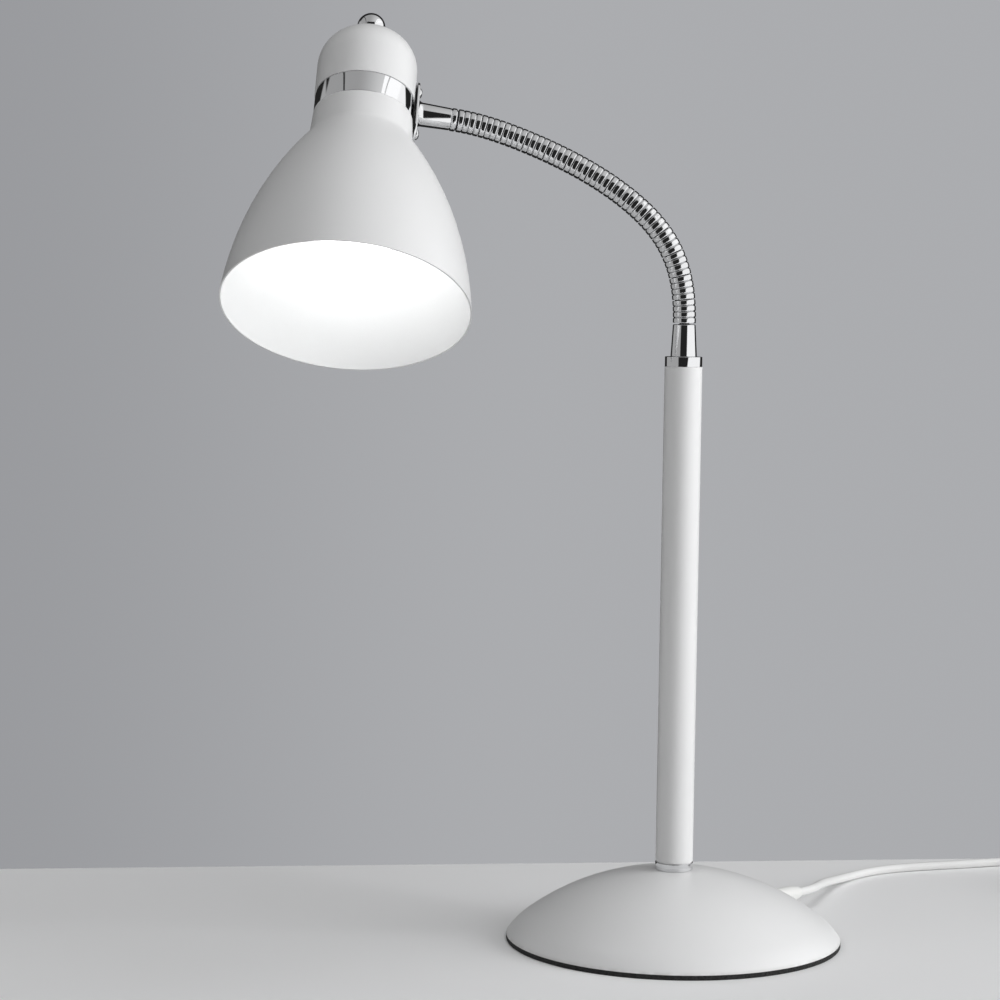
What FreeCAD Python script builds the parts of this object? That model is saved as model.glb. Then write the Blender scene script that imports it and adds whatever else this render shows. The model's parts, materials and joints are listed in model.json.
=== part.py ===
import FreeCAD, Part
import math
import os
import Sketcher
from FreeCAD import Placement, Rotation, Vector

# Gooseneck desk lamp, in millimetres.
# The origin is the centre of the base's underside on the table, +Z is up,
# the gooseneck leans over towards -X, and the shade opens down and towards -Y.

SIZES = {
    # Base: a spun steel dome over a cast weight, on a foam pad
    "base_radius": 89.7, "pad_radius": 89.8, "pad_height": 2.5, "dome_bottom": 2.6,
    "dome_curve": 134.0, "dome_centre_drop": 95.1, "dome_land_radius": 9.6, "dome_wall": 1.0,
    "dome_shoulder_radius": 80.0, "rim_curve": 40.0,
    "plate_radius": 87.4, "plate_height": 1.2, "plate_window": 16.0,
    "weight_bottom": 4.0, "weight_top": 12.2, "weight_radius": 64.0,
    "step_radius": 45.0, "step_top": 21.0, "boss_radius": 22.0, "boss_top": 36.0,
    "nut_recess_radius": 17.0, "nut_recess_top": 24.0,
    "slot_width": 9.0, "slot_top": 13.2, "plate_screw_circle": 54.0,
    "gland_height": 11.0, "gland_reach": 104.0, "gland_root": 65.5, "gland_radius": 4.6,
    "gland_flange": 6.2, "gland_tip": 3.5, "gland_bore": 2.6, "gland_hole": 4.7,
    # Pole: a tube clamped between two chrome rings by a hollow threaded rod
    "pole_radius": 10.0, "pole_wall": 1.0, "pole_top": 308.4,
    "foot_ring_height": 4.0, "foot_ring_radius": 10.1, "top_ring_height": 5.3,
    "top_ring_radius": 9.9, "spigot_height": 6.0, "fit": 0.06,
    "rod_radius": 5.0, "rod_bore": 3.8, "rod_bottom": 17.0, "rod_top": 322.0,
    "flex_radius": 2.5, "washer_radius": 11.0, "nut_radius": 8.1,
    # Gooseneck: ball and cup links, at the pitch of the hinges between them
    "neck_radius": 6.1, "neck_bore": 3.5, "link_pitch": 12.55, "neck_start": 332.6,
    "ball_radius": 4.9, "cup_radius": 5.2, "cup_drop": 0.8, "link_gap": 1.1,
    "lower_ferrule_foot": 7.0, "lower_ferrule_neck": 6.0,
    "ferrule_length": 21.6, "ferrule_neck": 5.8, "ferrule_foot": 6.3, "ferrule_flare": 7.9,
    "flare_height": 3.4, "flare_curve": 3.7, "stub_radius": 4.0, "stub_bore": 3.0,
    "stub_length": 6.4,
    # Head, measured from the point where the ferrule's axis meets the head's axis
    "plate_offset": 26.8, "flange_thickness": 1.2, "flange_half_length": 18.0,
    "flange_half_width": 8.0, "flange_screw_offset": 13.0, "screw_hole": 1.9, "screw_radius": 1.8,
    "screw_head_radius": 3.0, "screw_length": 7.0,
    "band_radius": 26.0, "band_top": 5.0, "band_bottom": 7.1, "head_wall": 0.8,
    "cap_radius": 26.4, "cap_side_top": 22.0, "cap_corner": 22.0, "cap_crown": 38.0,
    "collar_top_radius": 26.1, "collar_radius": 27.1, "collar_bottom": 24.1,
    "bell_curve": 197.0, "shade_radius": 64.0, "shade_bottom": 123.4, "shade_hole": 19.0,
    "bracket_face": 21.4, "bracket_wall": 2.0, "bracket_half_width": 6.5, "shelf_bottom": 18.0,
    "nipple_radius": 5.0, "nipple_bore": 3.6, "nipple_bottom": -1.5, "nipple_top": 40.5,
    "finial_radius": 7.5, "finial_centre": 50.15, "finial_neck": 5.0, "finial_spigot": 34.0,
    "cap_hole": 3.8,
    "holder_radius": 18.4, "holder_wall": 1.8, "holder_bottom": 50.0, "holder_dome_radius": 21.0,
    "sleeve_radius": 14.3, "sleeve_wall": 0.5, "bulb_cap_radius": 13.2, "bulb_cap_wall": 0.4,
    "bulb_cap_top": 24.0, "bulb_cap_bottom": 47.0, "bulb_neck": 12.4, "bulb_radius": 22.5,
    "bulb_centre": 74.0, "bulb_joint": 16.0, "bulb_neck_curve": 24.0, "glass_wall": 0.7,
    # Mains cord, its switch and its plug
    "cord_radius": 2.5, "coil_inner": 21.5, "coil_outer": 36.5, "coil_bottom": 0.8,
    "coil_top": 15.4, "coil_bevel": 2.2, "tie_wall": 0.7, "tie_width": 5.0,
    "switch_length": 62.0, "switch_width": 27.0, "switch_split": 8.0, "switch_top": 17.0,
    "switch_corner": 8.0, "switch_wall": 2.0, "rocker_length": 19.0, "rocker_width": 11.0,
    "rocker_pivot": 13.0, "rocker_dish": 34.0, "axle_radius": 1.25, "cheek_gap": 6.4,
    "cheek_top": 12.9,
    "plug_length": 36.0, "plug_width": 26.0, "plug_height": 14.0, "pin_radius": 2.0,
    "pin_length": 19.0, "pin_spacing": 18.6,
}

# How far each link of the gooseneck turns the line at rest, in degrees: over
# towards the head, and sideways towards -Y
LINK_BEND = [5.95, 9.4, 10.8, 11.7, 8.9, 5.8, 4.6, 3.7, 3.2, 2.5, 2.4, 2.9, 4.4, 5.65]
LINK_SIDE = [0.0] * 10 + [3.05] * 4

# The head's lean about the gooseneck's end, and the slope where its cap's corner meets its crown
HEAD_LEAN = 30.3
CAP_KNEE = 66.0

# Which way the cord leaves the base, seen from above
GLAND_ANGLE = 47.5

# Routes of the mains cord, chosen by hand: gland to switch, switch to coil, coil to plug
LEAD_ROUTE = [
    (70.26, 76.68, 11.0), (78.37, 85.53, 11.0), (83.0, 101.0, 10.2), (87.5, 120.0, 7.8),
    (94.0, 142.0, 4.6), (103.0, 161.0, 2.7), (115.0, 177.0, 2.5), (131.0, 189.5, 2.5),
    (152.0, 199.0, 2.5), (176.0, 208.0, 2.5), (196.0, 217.0, 2.5), (211.0, 221.0, 2.6),
    (226.5, 217.5, 4.4), (238.0, 207.0, 6.6), (243.0, 191.5, 8.0), (243.0, 171.0, 8.0),
]
TAIL_ROUTE = [(243.0, 109.0, 8.0), (243.0, 99.5, 8.0), (243.0, 88.5, 4.6), (243.0, 78.0, 3.3)]
END_ROUTE = [(311.0, 78.0, 3.3), (311.0, 89.0, 4.1), (311.0, 100.5, 7.0), (311.0, 112.0, 7.0)]
COIL_CENTRE = (277.0, 66.0)
SWITCH_ANGLE = -90.0
PLUG_ANGLE = 90.0
SWITCH_TILT = 7.0

doc = FreeCAD.newDocument("desk_lamp")
sheet = doc.addObject("Spreadsheet::Sheet", "Sizes")
for row, (alias, number) in enumerate(SIZES.items(), start=1):
    sheet.set("A%d" % row, alias)
    sheet.set("B%d" % row, str(number))
    sheet.setAlias("B%d" % row, alias)
doc.recompute()


class Size:
    """A length with the sheet expression that gives it."""

    def __init__(self, number, text):
        self.number = number
        self.text = text

    def joined(self, other, sign, number):
        return Size(number, "(%s %s %s)" % (self.text, sign, size(other).text))

    def __add__(self, other):
        return self.joined(other, "+", self.number + size(other).number)

    def __radd__(self, other):
        return size(other) + self

    def __sub__(self, other):
        return self.joined(other, "-", self.number - size(other).number)

    def __rsub__(self, other):
        return size(other) - self

    def __mul__(self, other):
        return self.joined(other, "*", self.number * size(other).number)

    def __rmul__(self, other):
        return size(other) * self

    def __truediv__(self, other):
        return self.joined(other, "/", self.number / size(other).number)

    def __neg__(self):
        return size(0.0) - self

    def root(self):
        return Size(math.sqrt(self.number), "sqrt(%s)" % self.text)


def size(value):
    """A Size from an alias of the sheet, a plain number or a Size."""
    if isinstance(value, Size):
        return value
    if isinstance(value, str):
        return Size(SIZES[value], "Sizes.%s" % value)
    return Size(float(value), repr(float(value)))


def across(radius, height):
    """The half-width of a circle of this radius, this far from its centre."""
    return (size(radius) * radius - size(height) * height).root()


NODES = []


def node(thing, label, placement=None):
    """Names a finished sub-part and puts it in its place."""
    thing.Label = label
    if placement is not None:
        thing.Placement = placement
    NODES.append(thing)
    return thing


def bind(thing, prop, value):
    """Binds one property of an object to the sheet."""
    value = size(value)
    thing.setExpression(prop, value.text)


def origin_plane(body, role):
    return next(item for item in body.Origin.OriginFeatures if item.Role == role)


def arc_between(start, end, radius, side):
    """The short arc between two places; side is +1 where it bulges to the left of the travel.

    A sketch needs its arcs anticlockwise, so a clockwise one is drawn from its end."""
    chord = end - start
    half = chord.Length / 2
    left = Vector(-chord.y, chord.x, 0).normalize()
    rise = math.sqrt(radius * radius - half * half)
    crest = (start + end) / 2 + left * side * (radius - rise)
    if side > 0:
        return Part.Arc(end, crest, start)
    return Part.Arc(start, crest, end)


def outline_sketch(body, role, points):
    """A closed outline on one of the body's origin planes, bound to the sheet.

    A point is (across, up), or (across, up, radius, side) where an arc ends there."""
    sketch = body.newObject("Sketcher::SketchObject", "Outline")
    sketch.AttachmentSupport = [(origin_plane(body, role), "")]
    sketch.MapMode = "FlatFace"
    spots = [(size(point[0]), size(point[1])) for point in points]
    places = [Vector(across_.number, up.number, 0) for across_, up in spots]
    ends = []
    for index, place in enumerate(places):
        following = (index + 1) % len(places)
        target = places[following]
        bent = points[following][2:]
        if bent:
            arc = arc_between(place, target, size(bent[0]).number, bent[1])
            edge = sketch.addGeometry(arc, False)
            ends.append((edge, 2, 1) if bent[1] > 0 else (edge, 1, 2))
            spot = sketch.addConstraint(Sketcher.Constraint("Radius", edge, size(bent[0]).number))
            sketch.setExpression("Constraints[%d]" % spot, size(bent[0]).text)
        else:
            edge = sketch.addGeometry(Part.LineSegment(place, target), False)
            ends.append((edge, 1, 2))
    for index, (edge, first, last) in enumerate(ends):
        next_edge, next_first, _ = ends[(index + 1) % len(ends)]
        sketch.addConstraint(Sketcher.Constraint("Coincident", edge, last, next_edge, next_first))
    for (edge, first, _), (across_, up) in zip(ends, spots):
        for kind, distance, axis in (("DistanceX", across_, -2), ("DistanceY", up, -1)):
            if abs(distance.number) < 1e-9:
                sketch.addConstraint(Sketcher.Constraint("PointOnObject", edge, first, axis))
            else:
                spot = sketch.addConstraint(
                    Sketcher.Constraint(kind, -1, 1, edge, first, distance.number))
                sketch.setExpression("Constraints[%d]" % spot, distance.text)
    return sketch


def turned(name, points):
    """A body turned about Z from an outline of (radius, height) points."""
    body = doc.addObject("PartDesign::Body", name)
    sketch = outline_sketch(body, "XZ_Plane", points)
    turn = body.newObject("PartDesign::Revolution", "Turn")
    turn.Profile = sketch
    turn.ReferenceAxis = (sketch, ["V_Axis"])
    turn.Angle = 360.0
    return body


def padded(name, points, height, corner=None):
    """A body padded up from an outline on XY, with its upright edges rounded."""
    body = doc.addObject("PartDesign::Body", name)
    sketch = outline_sketch(body, "XY_Plane", points)
    pad = body.newObject("PartDesign::Pad", "Pad")
    pad.Profile = sketch
    bind(pad, "Length", height)
    if corner is not None:
        doc.recompute()
        upright = []
        for number, edge in enumerate(pad.Shape.Edges, start=1):
            if len(edge.Vertexes) == 2 and abs(edge.tangentAt(edge.FirstParameter).z) > 0.999:
                upright.append("Edge%d" % number)
        rounding = body.newObject("PartDesign::Fillet", "Corners")
        rounding.Base = (pad, upright)
        bind(rounding, "Radius", corner)
    return body


def rectangle(length, width):
    """Corners of a rectangle about the origin."""
    half_length = size(length) / 2
    half_width = size(width) / 2
    return [(-half_length, -half_width), (half_length, -half_width),
            (half_length, half_width), (-half_length, half_width)]


def solid(kind, at=(0, 0, 0), turn=None, **sizes):
    """A Part primitive with its sizes and its place bound to the sheet."""
    thing = doc.addObject("Part::" + kind, kind)
    if turn is not None:
        thing.Placement = Placement(Vector(0, 0, 0), turn)
    for prop, value in sizes.items():
        if prop == "Polygon":
            thing.Polygon = value
        else:
            bind(thing, prop, value)
    for prop, value in zip("xyz", at):
        bind(thing, "Placement.Base." + prop, value)
    return thing


def block(low, length, width, height):
    """A box from its lowest corner."""
    return solid("Box", low, None, Length=length, Width=width, Height=height)


def joined(*things):
    fuse = doc.addObject("Part::MultiFuse", "Joined")
    fuse.Shapes = list(things)
    return fuse


def grouped(*things):
    """Separate solids that share one node."""
    group = doc.addObject("Part::Compound", "Group")
    group.Links = list(things)
    return group


def drilled(thing, *tools):
    """The thing with the tools taken out of it."""
    result = thing
    for tool in tools:
        cut = doc.addObject("Part::Cut", "Cut")
        cut.Base = result
        cut.Tool = tool
        result = cut
    return result


ALONG_X = Rotation(Vector(0, 1, 0), 90)
ALONG_Y = Rotation(Vector(1, 0, 0), -90)


def route_wire(points, largest=None):
    """Straight runs joined by tangent arcs, and the arcs' radii."""
    places = [Vector(*point) for point in points]
    edges = []
    radii = []
    start = places[0]
    for before, corner, after in zip(places, places[1:], places[2:]):
        into = (corner - before).normalize()
        out = (after - corner).normalize()
        half_turn = into.getAngle(out) / 2
        shorter = min((corner - before).Length, (after - corner).Length)
        radius = 0.45 * shorter / math.tan(half_turn)
        if largest is not None:
            radius = min(radius, largest)
        radii.append(round(radius, 1))
        back = radius * math.tan(half_turn)
        first = corner - into * back
        last = corner + out * back
        inward = (out - into).normalize()
        middle = corner + inward * (radius / math.cos(half_turn) - radius)
        edges.append(Part.LineSegment(start, first).toShape())
        edges.append(Part.Arc(first, middle, last).toShape())
        start = last
    edges.append(Part.LineSegment(start, places[-1]).toShape())
    return Part.Wire(edges), radii


def swept(points, radius, largest=None):
    """A round solid along a route, its centre line's length and its arcs' radii."""
    wire, radii = route_wire(points, largest)
    heading = (Vector(*points[1]) - Vector(*points[0])).normalize()
    ring = Part.Wire([Part.Circle(Vector(*points[0]), heading, radius).toShape()])
    return wire.makePipeShell([ring], True, True), wire.Length, radii


def tube(label, points, radius, largest=None):
    """A node for a cord along a route, with its volume compared with section times length."""
    shape, length, radii = swept(points, radius, largest)
    ratio = shape.Volume / (math.pi * radius * radius * length)
    print("%s: length %.1f, radii %s, volume ratio %.4f" % (label, length, radii, ratio))
    feature = doc.addObject("Part::Feature", label)
    feature.Shape = shape
    node(feature, label)


def about_z(degrees):
    return Rotation(Vector(0, 0, 1), degrees)


def gland_frame(distance=0.0, height=0.0):
    """The frame that runs out from the pole's axis along the cord's way out."""
    turn = about_z(GLAND_ANGLE)
    return Placement(turn.multVec(Vector(distance, 0, height)), turn)


def dome_height(radius):
    """The height of the dome's outside at this radius."""
    return across("dome_curve", radius) - "dome_centre_drop"


def dome_inside(radius):
    """The height of the dome's inside at this radius."""
    return across(size("dome_curve") - "dome_wall", radius) - "dome_centre_drop"


def base_shell():
    """The spun dome, with a hole for the rod and one for the gland."""
    wall, rim = size("dome_wall"), size("rim_curve")
    dome = size("dome_curve")
    land, shoulder = size("dome_land_radius"), size("dome_shoulder_radius")
    hole = size("rod_radius") + "fit"
    inner_shoulder = shoulder - wall * 0.6
    shell = turned("DomeShell", [
        (hole, dome_inside(land)),
        (hole, dome_height(land)),
        (land, dome_height(land)),
        (shoulder, dome_height(shoulder), dome, 1),
        ("base_radius", "dome_bottom", rim, 1),
        (size("base_radius") - wall, "dome_bottom"),
        (inner_shoulder, dome_inside(inner_shoulder), rim - wall, -1),
        (land, dome_inside(land), dome - wall, -1),
    ])
    gland_hole = solid("Cylinder", (0, 0, "gland_height"), about_z(GLAND_ANGLE) * ALONG_X,
                       Radius="gland_hole", Height="gland_reach")
    node(drilled(shell, gland_hole), "base_shell")


def base_weight(screw_spots):
    """The cast weight: a stepped disc with a boss under the dome and a way for the cord."""
    hole = size("rod_radius") + "fit"
    recess, bottom = size("nut_recess_radius"), size("weight_bottom")
    weight = turned("Weight", [
        (recess, bottom), ("weight_radius", bottom), ("weight_radius", "weight_top"),
        ("step_radius", "weight_top"), ("step_radius", "step_top"), ("boss_radius", "step_top"),
        ("boss_radius", "boss_top"), (hole, "boss_top"), (hole, "nut_recess_top"),
        (recess, "nut_recess_top"),
    ])
    turn = math.radians(GLAND_ANGLE)
    half = size("slot_width") / 2
    way = solid("Box", (half * math.sin(turn), -half * math.cos(turn), bottom),
                about_z(GLAND_ANGLE), Length=size("weight_radius") + 2, Width="slot_width",
                Height=size("slot_top") - bottom)
    taps = [solid("Cylinder", (x, y, bottom), None, Radius=2.1, Height=7.0)
            for x, y in screw_spots]
    node(drilled(weight, way, *taps), "base_weight")


def base_plate(screw_spots):
    """The disc that closes the base, its countersunk screws and the foam pad."""
    bottom, thick = size("dome_bottom"), size("plate_height")
    plate = turned("BottomPlate", [
        ("plate_window", bottom), ("plate_radius", bottom),
        ("plate_radius", bottom + thick), ("plate_window", bottom + thick),
    ])
    holes = [solid("Cylinder", (x, y, bottom), None, Radius=2.3, Height=thick)
             for x, y in screw_spots]
    sinks = [solid("Cone", (x, y, bottom), None, Radius1=4.1, Radius2=2.3, Height=thick)
             for x, y in screw_spots]
    node(drilled(plate, *holes, *sinks), "base_plate")
    screws = []
    for x, y in screw_spots:
        sunk_head = solid("Cone", (x, y, bottom + 0.05), None, Radius1=3.9, Radius2=2.0,
                          Height=thick)
        shank = solid("Cylinder", (x, y, bottom + 0.1), None, Radius=2.0, Height=7.5)
        drive = block((x - 3.0, y - 0.4, bottom), 6.0, 0.8, 0.6)
        screws.append(drilled(joined(sunk_head, shank), drive))
    node(grouped(*screws), "base_plate_screws")
    pad = turned("Pad", [(0, 0), ("pad_radius", 0), ("pad_radius", "pad_height"),
                         (0, "pad_height")])
    node(pad, "base_pad")


def rod_fixings():
    """The washer and nut that pull the rod down under the weight."""
    seat = size("nut_recess_top") - 0.05
    thread = size("rod_radius") + "fit"
    washer = turned("Washer", [(thread, seat - 1.5), ("washer_radius", seat - 1.5),
                               ("washer_radius", seat), (thread, seat)])
    nut = solid("Prism", (0, 0, seat - 5.6), None, Polygon=6, Circumradius="nut_radius", Height=4.0)
    tap = solid("Cylinder", (0, 0, seat - 6.0), None, Radius=thread, Height=5.0)
    node(grouped(washer, drilled(nut, tap)), "rod_fixings")


def cord_gland():
    """The sleeve that leads the cord through the dome, and the bar that grips it inside."""
    root, reach = size("gland_root"), size("gland_reach")
    gland = turned("Gland", [
        ("gland_bore", root), ("gland_flange", root), ("gland_flange", root + 2.0),
        ("gland_radius", root + 2.0), ("gland_radius", reach - 9.0), ("gland_tip", reach - 1.0),
        (size("gland_tip") - 0.6, reach), ("gland_bore", reach),
    ])
    node(gland, "cord_gland", Placement(Vector(0, 0, SIZES["gland_height"]),
                                        about_z(GLAND_ANGLE) * ALONG_X))
    bar = block((-4.0, -11.0, 0.05), 8.0, 22.0, 1.6)
    parts = []
    sides = (-8.0, 8.0)
    holes = [solid("Cylinder", (0, y, 0), None, Radius=1.8, Height=3.0) for y in sides]
    parts.append(drilled(bar, *holes))
    for y in sides:
        shank = solid("Cylinder", (0, y, 0.02), None, Radius=1.5, Height=1.8)
        pan = solid("Cylinder", (0, y, 1.7), None, Radius=2.9, Height=1.3)
        parts.append(joined(shank, pan))
    node(grouped(*parts), "cord_clamp", gland_frame(55.0, SIZES["weight_top"]))


def pole():
    """The pole between its two chrome rings, and the rod that clamps them."""
    foot = dome_height("dome_land_radius") + 0.03
    foot_top = foot + "foot_ring_height"
    hole = size("rod_radius") + "fit"
    bore = size("pole_radius") - "pole_wall"
    spigot = bore - "fit"
    node(turned("FootRing", [
        (hole, foot), ("foot_ring_radius", foot), ("foot_ring_radius", foot_top),
        (spigot, foot_top), (spigot, foot_top + "spigot_height"),
        (hole, foot_top + "spigot_height"),
    ]), "pole_foot_ring")
    node(turned("PoleTube", [
        (bore, foot_top + 0.02), ("pole_radius", foot_top + 0.02),
        ("pole_radius", "pole_top"), (bore, "pole_top"),
    ]), "pole_tube")
    ring = size("pole_top") + 0.02
    ring_top = size("pole_top") + "top_ring_height"
    spigot_end = ring - "spigot_height"
    node(turned("TopRing", [
        (hole, spigot_end), (spigot, spigot_end), (spigot, ring), ("top_ring_radius", ring),
        ("top_ring_radius", ring_top), (hole, ring_top),
    ]), "pole_top_ring")
    node(turned("Rod", [("rod_bore", "rod_bottom"), ("rod_radius", "rod_bottom"),
                        ("rod_radius", "rod_top"), ("rod_bore", "rod_top")]), "pole_rod")


def inner_flex():
    """The cord's own run through the base and up the rod."""
    places = [(SIZES["gland_reach"], SIZES["gland_height"]), (65.0, SIZES["gland_height"]),
              (57.0, 8.6), (0.0, 8.6), (0.0, SIZES["neck_start"] - 1.0)]
    route = [tuple(gland_frame(*place).Base) for place in places]
    tube("inner_flex", route, SIZES["flex_radius"], 9.5)


def lower_ferrule():
    """The tapered ferrule on the pole, with the gooseneck's first ball."""
    foot = size("pole_top") + "top_ring_height" + 0.02
    pivot = size("neck_start")
    top = pivot - "cup_drop" - "link_gap"
    rod_room = size("rod_top") + 0.2
    thread = size("rod_radius") + "fit"
    node(turned("LowerFerrule", [
        (thread, foot), ("lower_ferrule_foot", foot), ("lower_ferrule_neck", top),
        (across("ball_radius", pivot - top), top),
        ("neck_bore", pivot + across("ball_radius", "neck_bore"), "ball_radius", -1),
        ("neck_bore", rod_room), (thread, rod_room),
    ]), "lower_ferrule")


def neck_heading(bend, side):
    """The line's direction after these turns, in degrees, from straight up."""
    bend, side = math.radians(90 + bend), math.radians(side)
    return Vector(math.cos(side) * math.cos(bend), -math.sin(side), math.cos(side) * math.sin(bend))


def neck_frames():
    """Each hinge's place, the line's direction there, the way it bends and its turn."""
    pitch = SIZES["link_pitch"]
    place, bend, side = Vector(0, 0, SIZES["neck_start"]), 0.0, 0.0
    heading = neck_heading(bend, side)
    frames = []
    for more_bend, more_side in zip(LINK_BEND, LINK_SIDE):
        bend += more_bend
        side += more_side
        following = neck_heading(bend, side)
        turn = heading.getAngle(following)
        inward = (following - heading * heading.dot(following)).normalize()
        frames.append((place, heading, inward, turn))
        curve = pitch / turn
        place = place + heading * curve * math.sin(turn) + inward * curve * (1 - math.cos(turn))
        heading = following
    return frames, place, heading


def neck_link(number, place, heading, inward, turn):
    """One link: a short bent tube with a cup at its start and a ball at its end."""
    pitch = SIZES["link_pitch"]
    curve = pitch / turn
    lead = Rotation(Vector(-1, 0, 0), Vector(0, 0, 1), Vector(0, 1, 0), "XYZ")

    def bent(radius, start, end):
        thing = doc.addObject("Part::Torus", "Bent")
        bind(thing, "Radius1", size("link_pitch") / turn)
        bind(thing, "Radius2", radius)
        thing.Angle3 = math.degrees((end - start) / curve)
        thing.Placement = Placement(Vector(curve, 0, 0), lead * about_z(math.degrees(start / curve)))
        return thing

    skin = bent("neck_radius", -SIZES["cup_drop"], pitch - SIZES["cup_drop"] - SIZES["link_gap"])
    ball = solid("Sphere", (curve * (1 - math.cos(turn)), 0, curve * math.sin(turn)), None,
                 Radius="ball_radius")
    cup = solid("Sphere", (0, 0, 0), None, Radius="cup_radius")
    bore = bent("neck_bore", -pitch * 0.7, pitch * 1.7)
    link = drilled(joined(skin, ball), bore, cup)
    frame = Rotation(inward, heading.cross(inward), heading, "ZXY")
    node(link, "gooseneck_link_%02d" % number, Placement(place, frame))


def head_placement(neck_end, heading):
    """The head's own frame: X back along the ferrule, Z up its axis to the finial."""
    centre = neck_end + heading * (SIZES["plate_offset"] + SIZES["ferrule_length"])
    upright = (Vector(0, 0, 1) - heading * heading.z).normalize()
    up = Rotation(heading, HEAD_LEAN).multVec(upright)
    back = heading * -1
    return Placement(centre, Rotation(back, up.cross(back), up, "ZXY"))


def upper_ferrule(neck_end, heading, head):
    """The ferrule at the head, turned along the gooseneck's last direction."""
    face = size("ferrule_length") - "flange_thickness" - 0.02
    flare_start = face - "flare_height"
    tip = face + "stub_length"
    rim = -size("cup_drop")
    ferrule = turned("UpperFerrule", [
        (across("cup_radius", "cup_drop"), rim, "cup_radius", 1),
        ("ferrule_neck", rim),
        ("ferrule_foot", flare_start),
        ("ferrule_flare", face, "flare_curve", 1),
        ("stub_radius", face),
        ("stub_radius", tip),
        ("stub_bore", tip),
        ("stub_bore", across("cup_radius", "stub_bore")),
    ])
    sideways = head.Rotation.multVec(Vector(0, 1, 0))
    turn = Rotation(sideways, heading.cross(sideways), heading, "ZXY")
    node(ferrule, "upper_ferrule", Placement(neck_end, turn))


def pan_screw(face, up):
    """A cross-head screw along -X with its pan head outside the face."""
    length, head_radius = size("screw_length"), size("screw_head_radius")
    shank = solid("Cylinder", (face - length, 0, up), ALONG_X, Radius="screw_radius",
                  Height=length + 0.5)
    pan = solid("Cylinder", (face + 0.03, 0, up), ALONG_X, Radius=head_radius, Height=1.1)
    crown = solid("Cone", (face + 1.13, 0, up), ALONG_X, Radius1=head_radius,
                  Radius2=head_radius - 1.1, Height=0.9)
    cross = [block((face + 1.0, -1.6, up - 0.35), 2.0, 3.2, 0.7),
             block((face + 1.0, -0.35, up - 1.6), 2.0, 0.7, 3.2)]
    return drilled(joined(shank, pan, crown), *cross)


def flange(head):
    """The plate that carries the head on the ferrule, with its two screws."""
    inner, thick = size("plate_offset"), size("flange_thickness")
    width = size("flange_half_width")
    straight = size("flange_half_length") - width
    spots = [size("flange_screw_offset"), -size("flange_screw_offset")]
    middle = block((inner, -width, -straight), thick, width * 2, straight * 2)
    ends = [solid("Cylinder", (inner, 0, up), ALONG_X, Radius=width, Height=thick)
            for up in (straight, -straight)]
    holes = [solid("Cylinder", (inner - 1, 0, up), ALONG_X, Radius="screw_hole", Height=4.0)
             for up in spots]
    port = solid("Cylinder", (inner - 1, 0, 0), ALONG_X, Radius=size("stub_radius") + "fit",
                 Height=4.0)
    node(drilled(joined(middle, *ends), port, *holes), "flange_plate", head)
    node(grouped(*[pan_screw(inner + thick, up) for up in spots]), "flange_screws", head)


def head_band(head):
    """The chrome band between cap and shade."""
    outer, top, bottom = size("band_radius"), size("band_top"), -size("band_bottom")
    wall = size("head_wall")
    band = turned("Band", [(outer - wall, bottom), (outer, bottom), (outer, top), (outer - wall, top)])
    port = solid("Cylinder", (15, 0, 0), ALONG_X, Radius=size("stub_radius") + 0.3, Height=15)
    node(drilled(band, port), "head_band", head)


def head_cap(head):
    """The cap over the lampholder, and the ball that holds it down."""
    wall, corner, crown = size("head_wall"), size("cap_corner"), size("cap_crown")
    cap, side_top = size("cap_radius"), size("cap_side_top")
    bottom = size("band_top") + 0.05
    lean = math.radians(CAP_KNEE)
    knee = cap - corner + corner * math.cos(lean)
    knee_up = side_top + corner * math.sin(lean)
    inner_knee = knee - wall * math.cos(lean)
    inner_knee_up = knee_up - wall * math.sin(lean)
    centre = knee_up - across(crown, knee)
    hole = size("cap_hole")
    shell = turned("Cap", [
        (cap - wall, bottom), (cap, bottom), (cap, side_top),
        (knee, knee_up, corner, -1),
        (hole, centre + across(crown, hole), crown, -1),
        (hole, centre + across(crown - wall, hole)),
        (inner_knee, inner_knee_up, crown - wall, 1),
        (cap - wall, side_top, corner - wall, 1),
    ])
    screw_hole = solid("Cylinder", (15, 0, "flange_screw_offset"), ALONG_X, Radius="screw_hole",
                       Height=15)
    node(drilled(shell, screw_hole), "head_cap", head)

    ball, middle, neck = size("finial_radius"), size("finial_centre"), size("finial_neck")
    seat = centre + across(crown, hole) + 0.02
    spigot = size("nipple_bore") - "fit"
    node(turned("Finial", [
        (0, "finial_spigot"), (spigot, "finial_spigot"), (spigot, seat), (neck, seat),
        (neck, middle - across(ball, neck)),
        (0, middle + ball, ball, -1),
    ]), "ball_finial", head)


def shade(head):
    """The bell-shaped shade, with an inward flange that the lampholder clamps."""
    wall = size("head_wall")
    top = -size("band_bottom") - 0.05
    bottom, rim = -size("collar_bottom"), -size("shade_bottom")
    bell = size("bell_curve")
    shell = turned("Shade", [
        ("shade_hole", top - wall), ("shade_hole", top),
        ("collar_top_radius", top), ("collar_radius", bottom),
        ("shade_radius", rim, bell, 1),
        (size("shade_radius") - wall, rim),
        (size("collar_radius") - wall, bottom - 0.5, bell - wall, -1),
        (size("collar_top_radius") - wall, top - wall),
    ])
    screw_hole = solid("Cylinder", (15, 0, -size("flange_screw_offset")), ALONG_X,
                       Radius="screw_hole", Height=15)
    node(drilled(shell, screw_hole), "shade", head)


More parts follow.
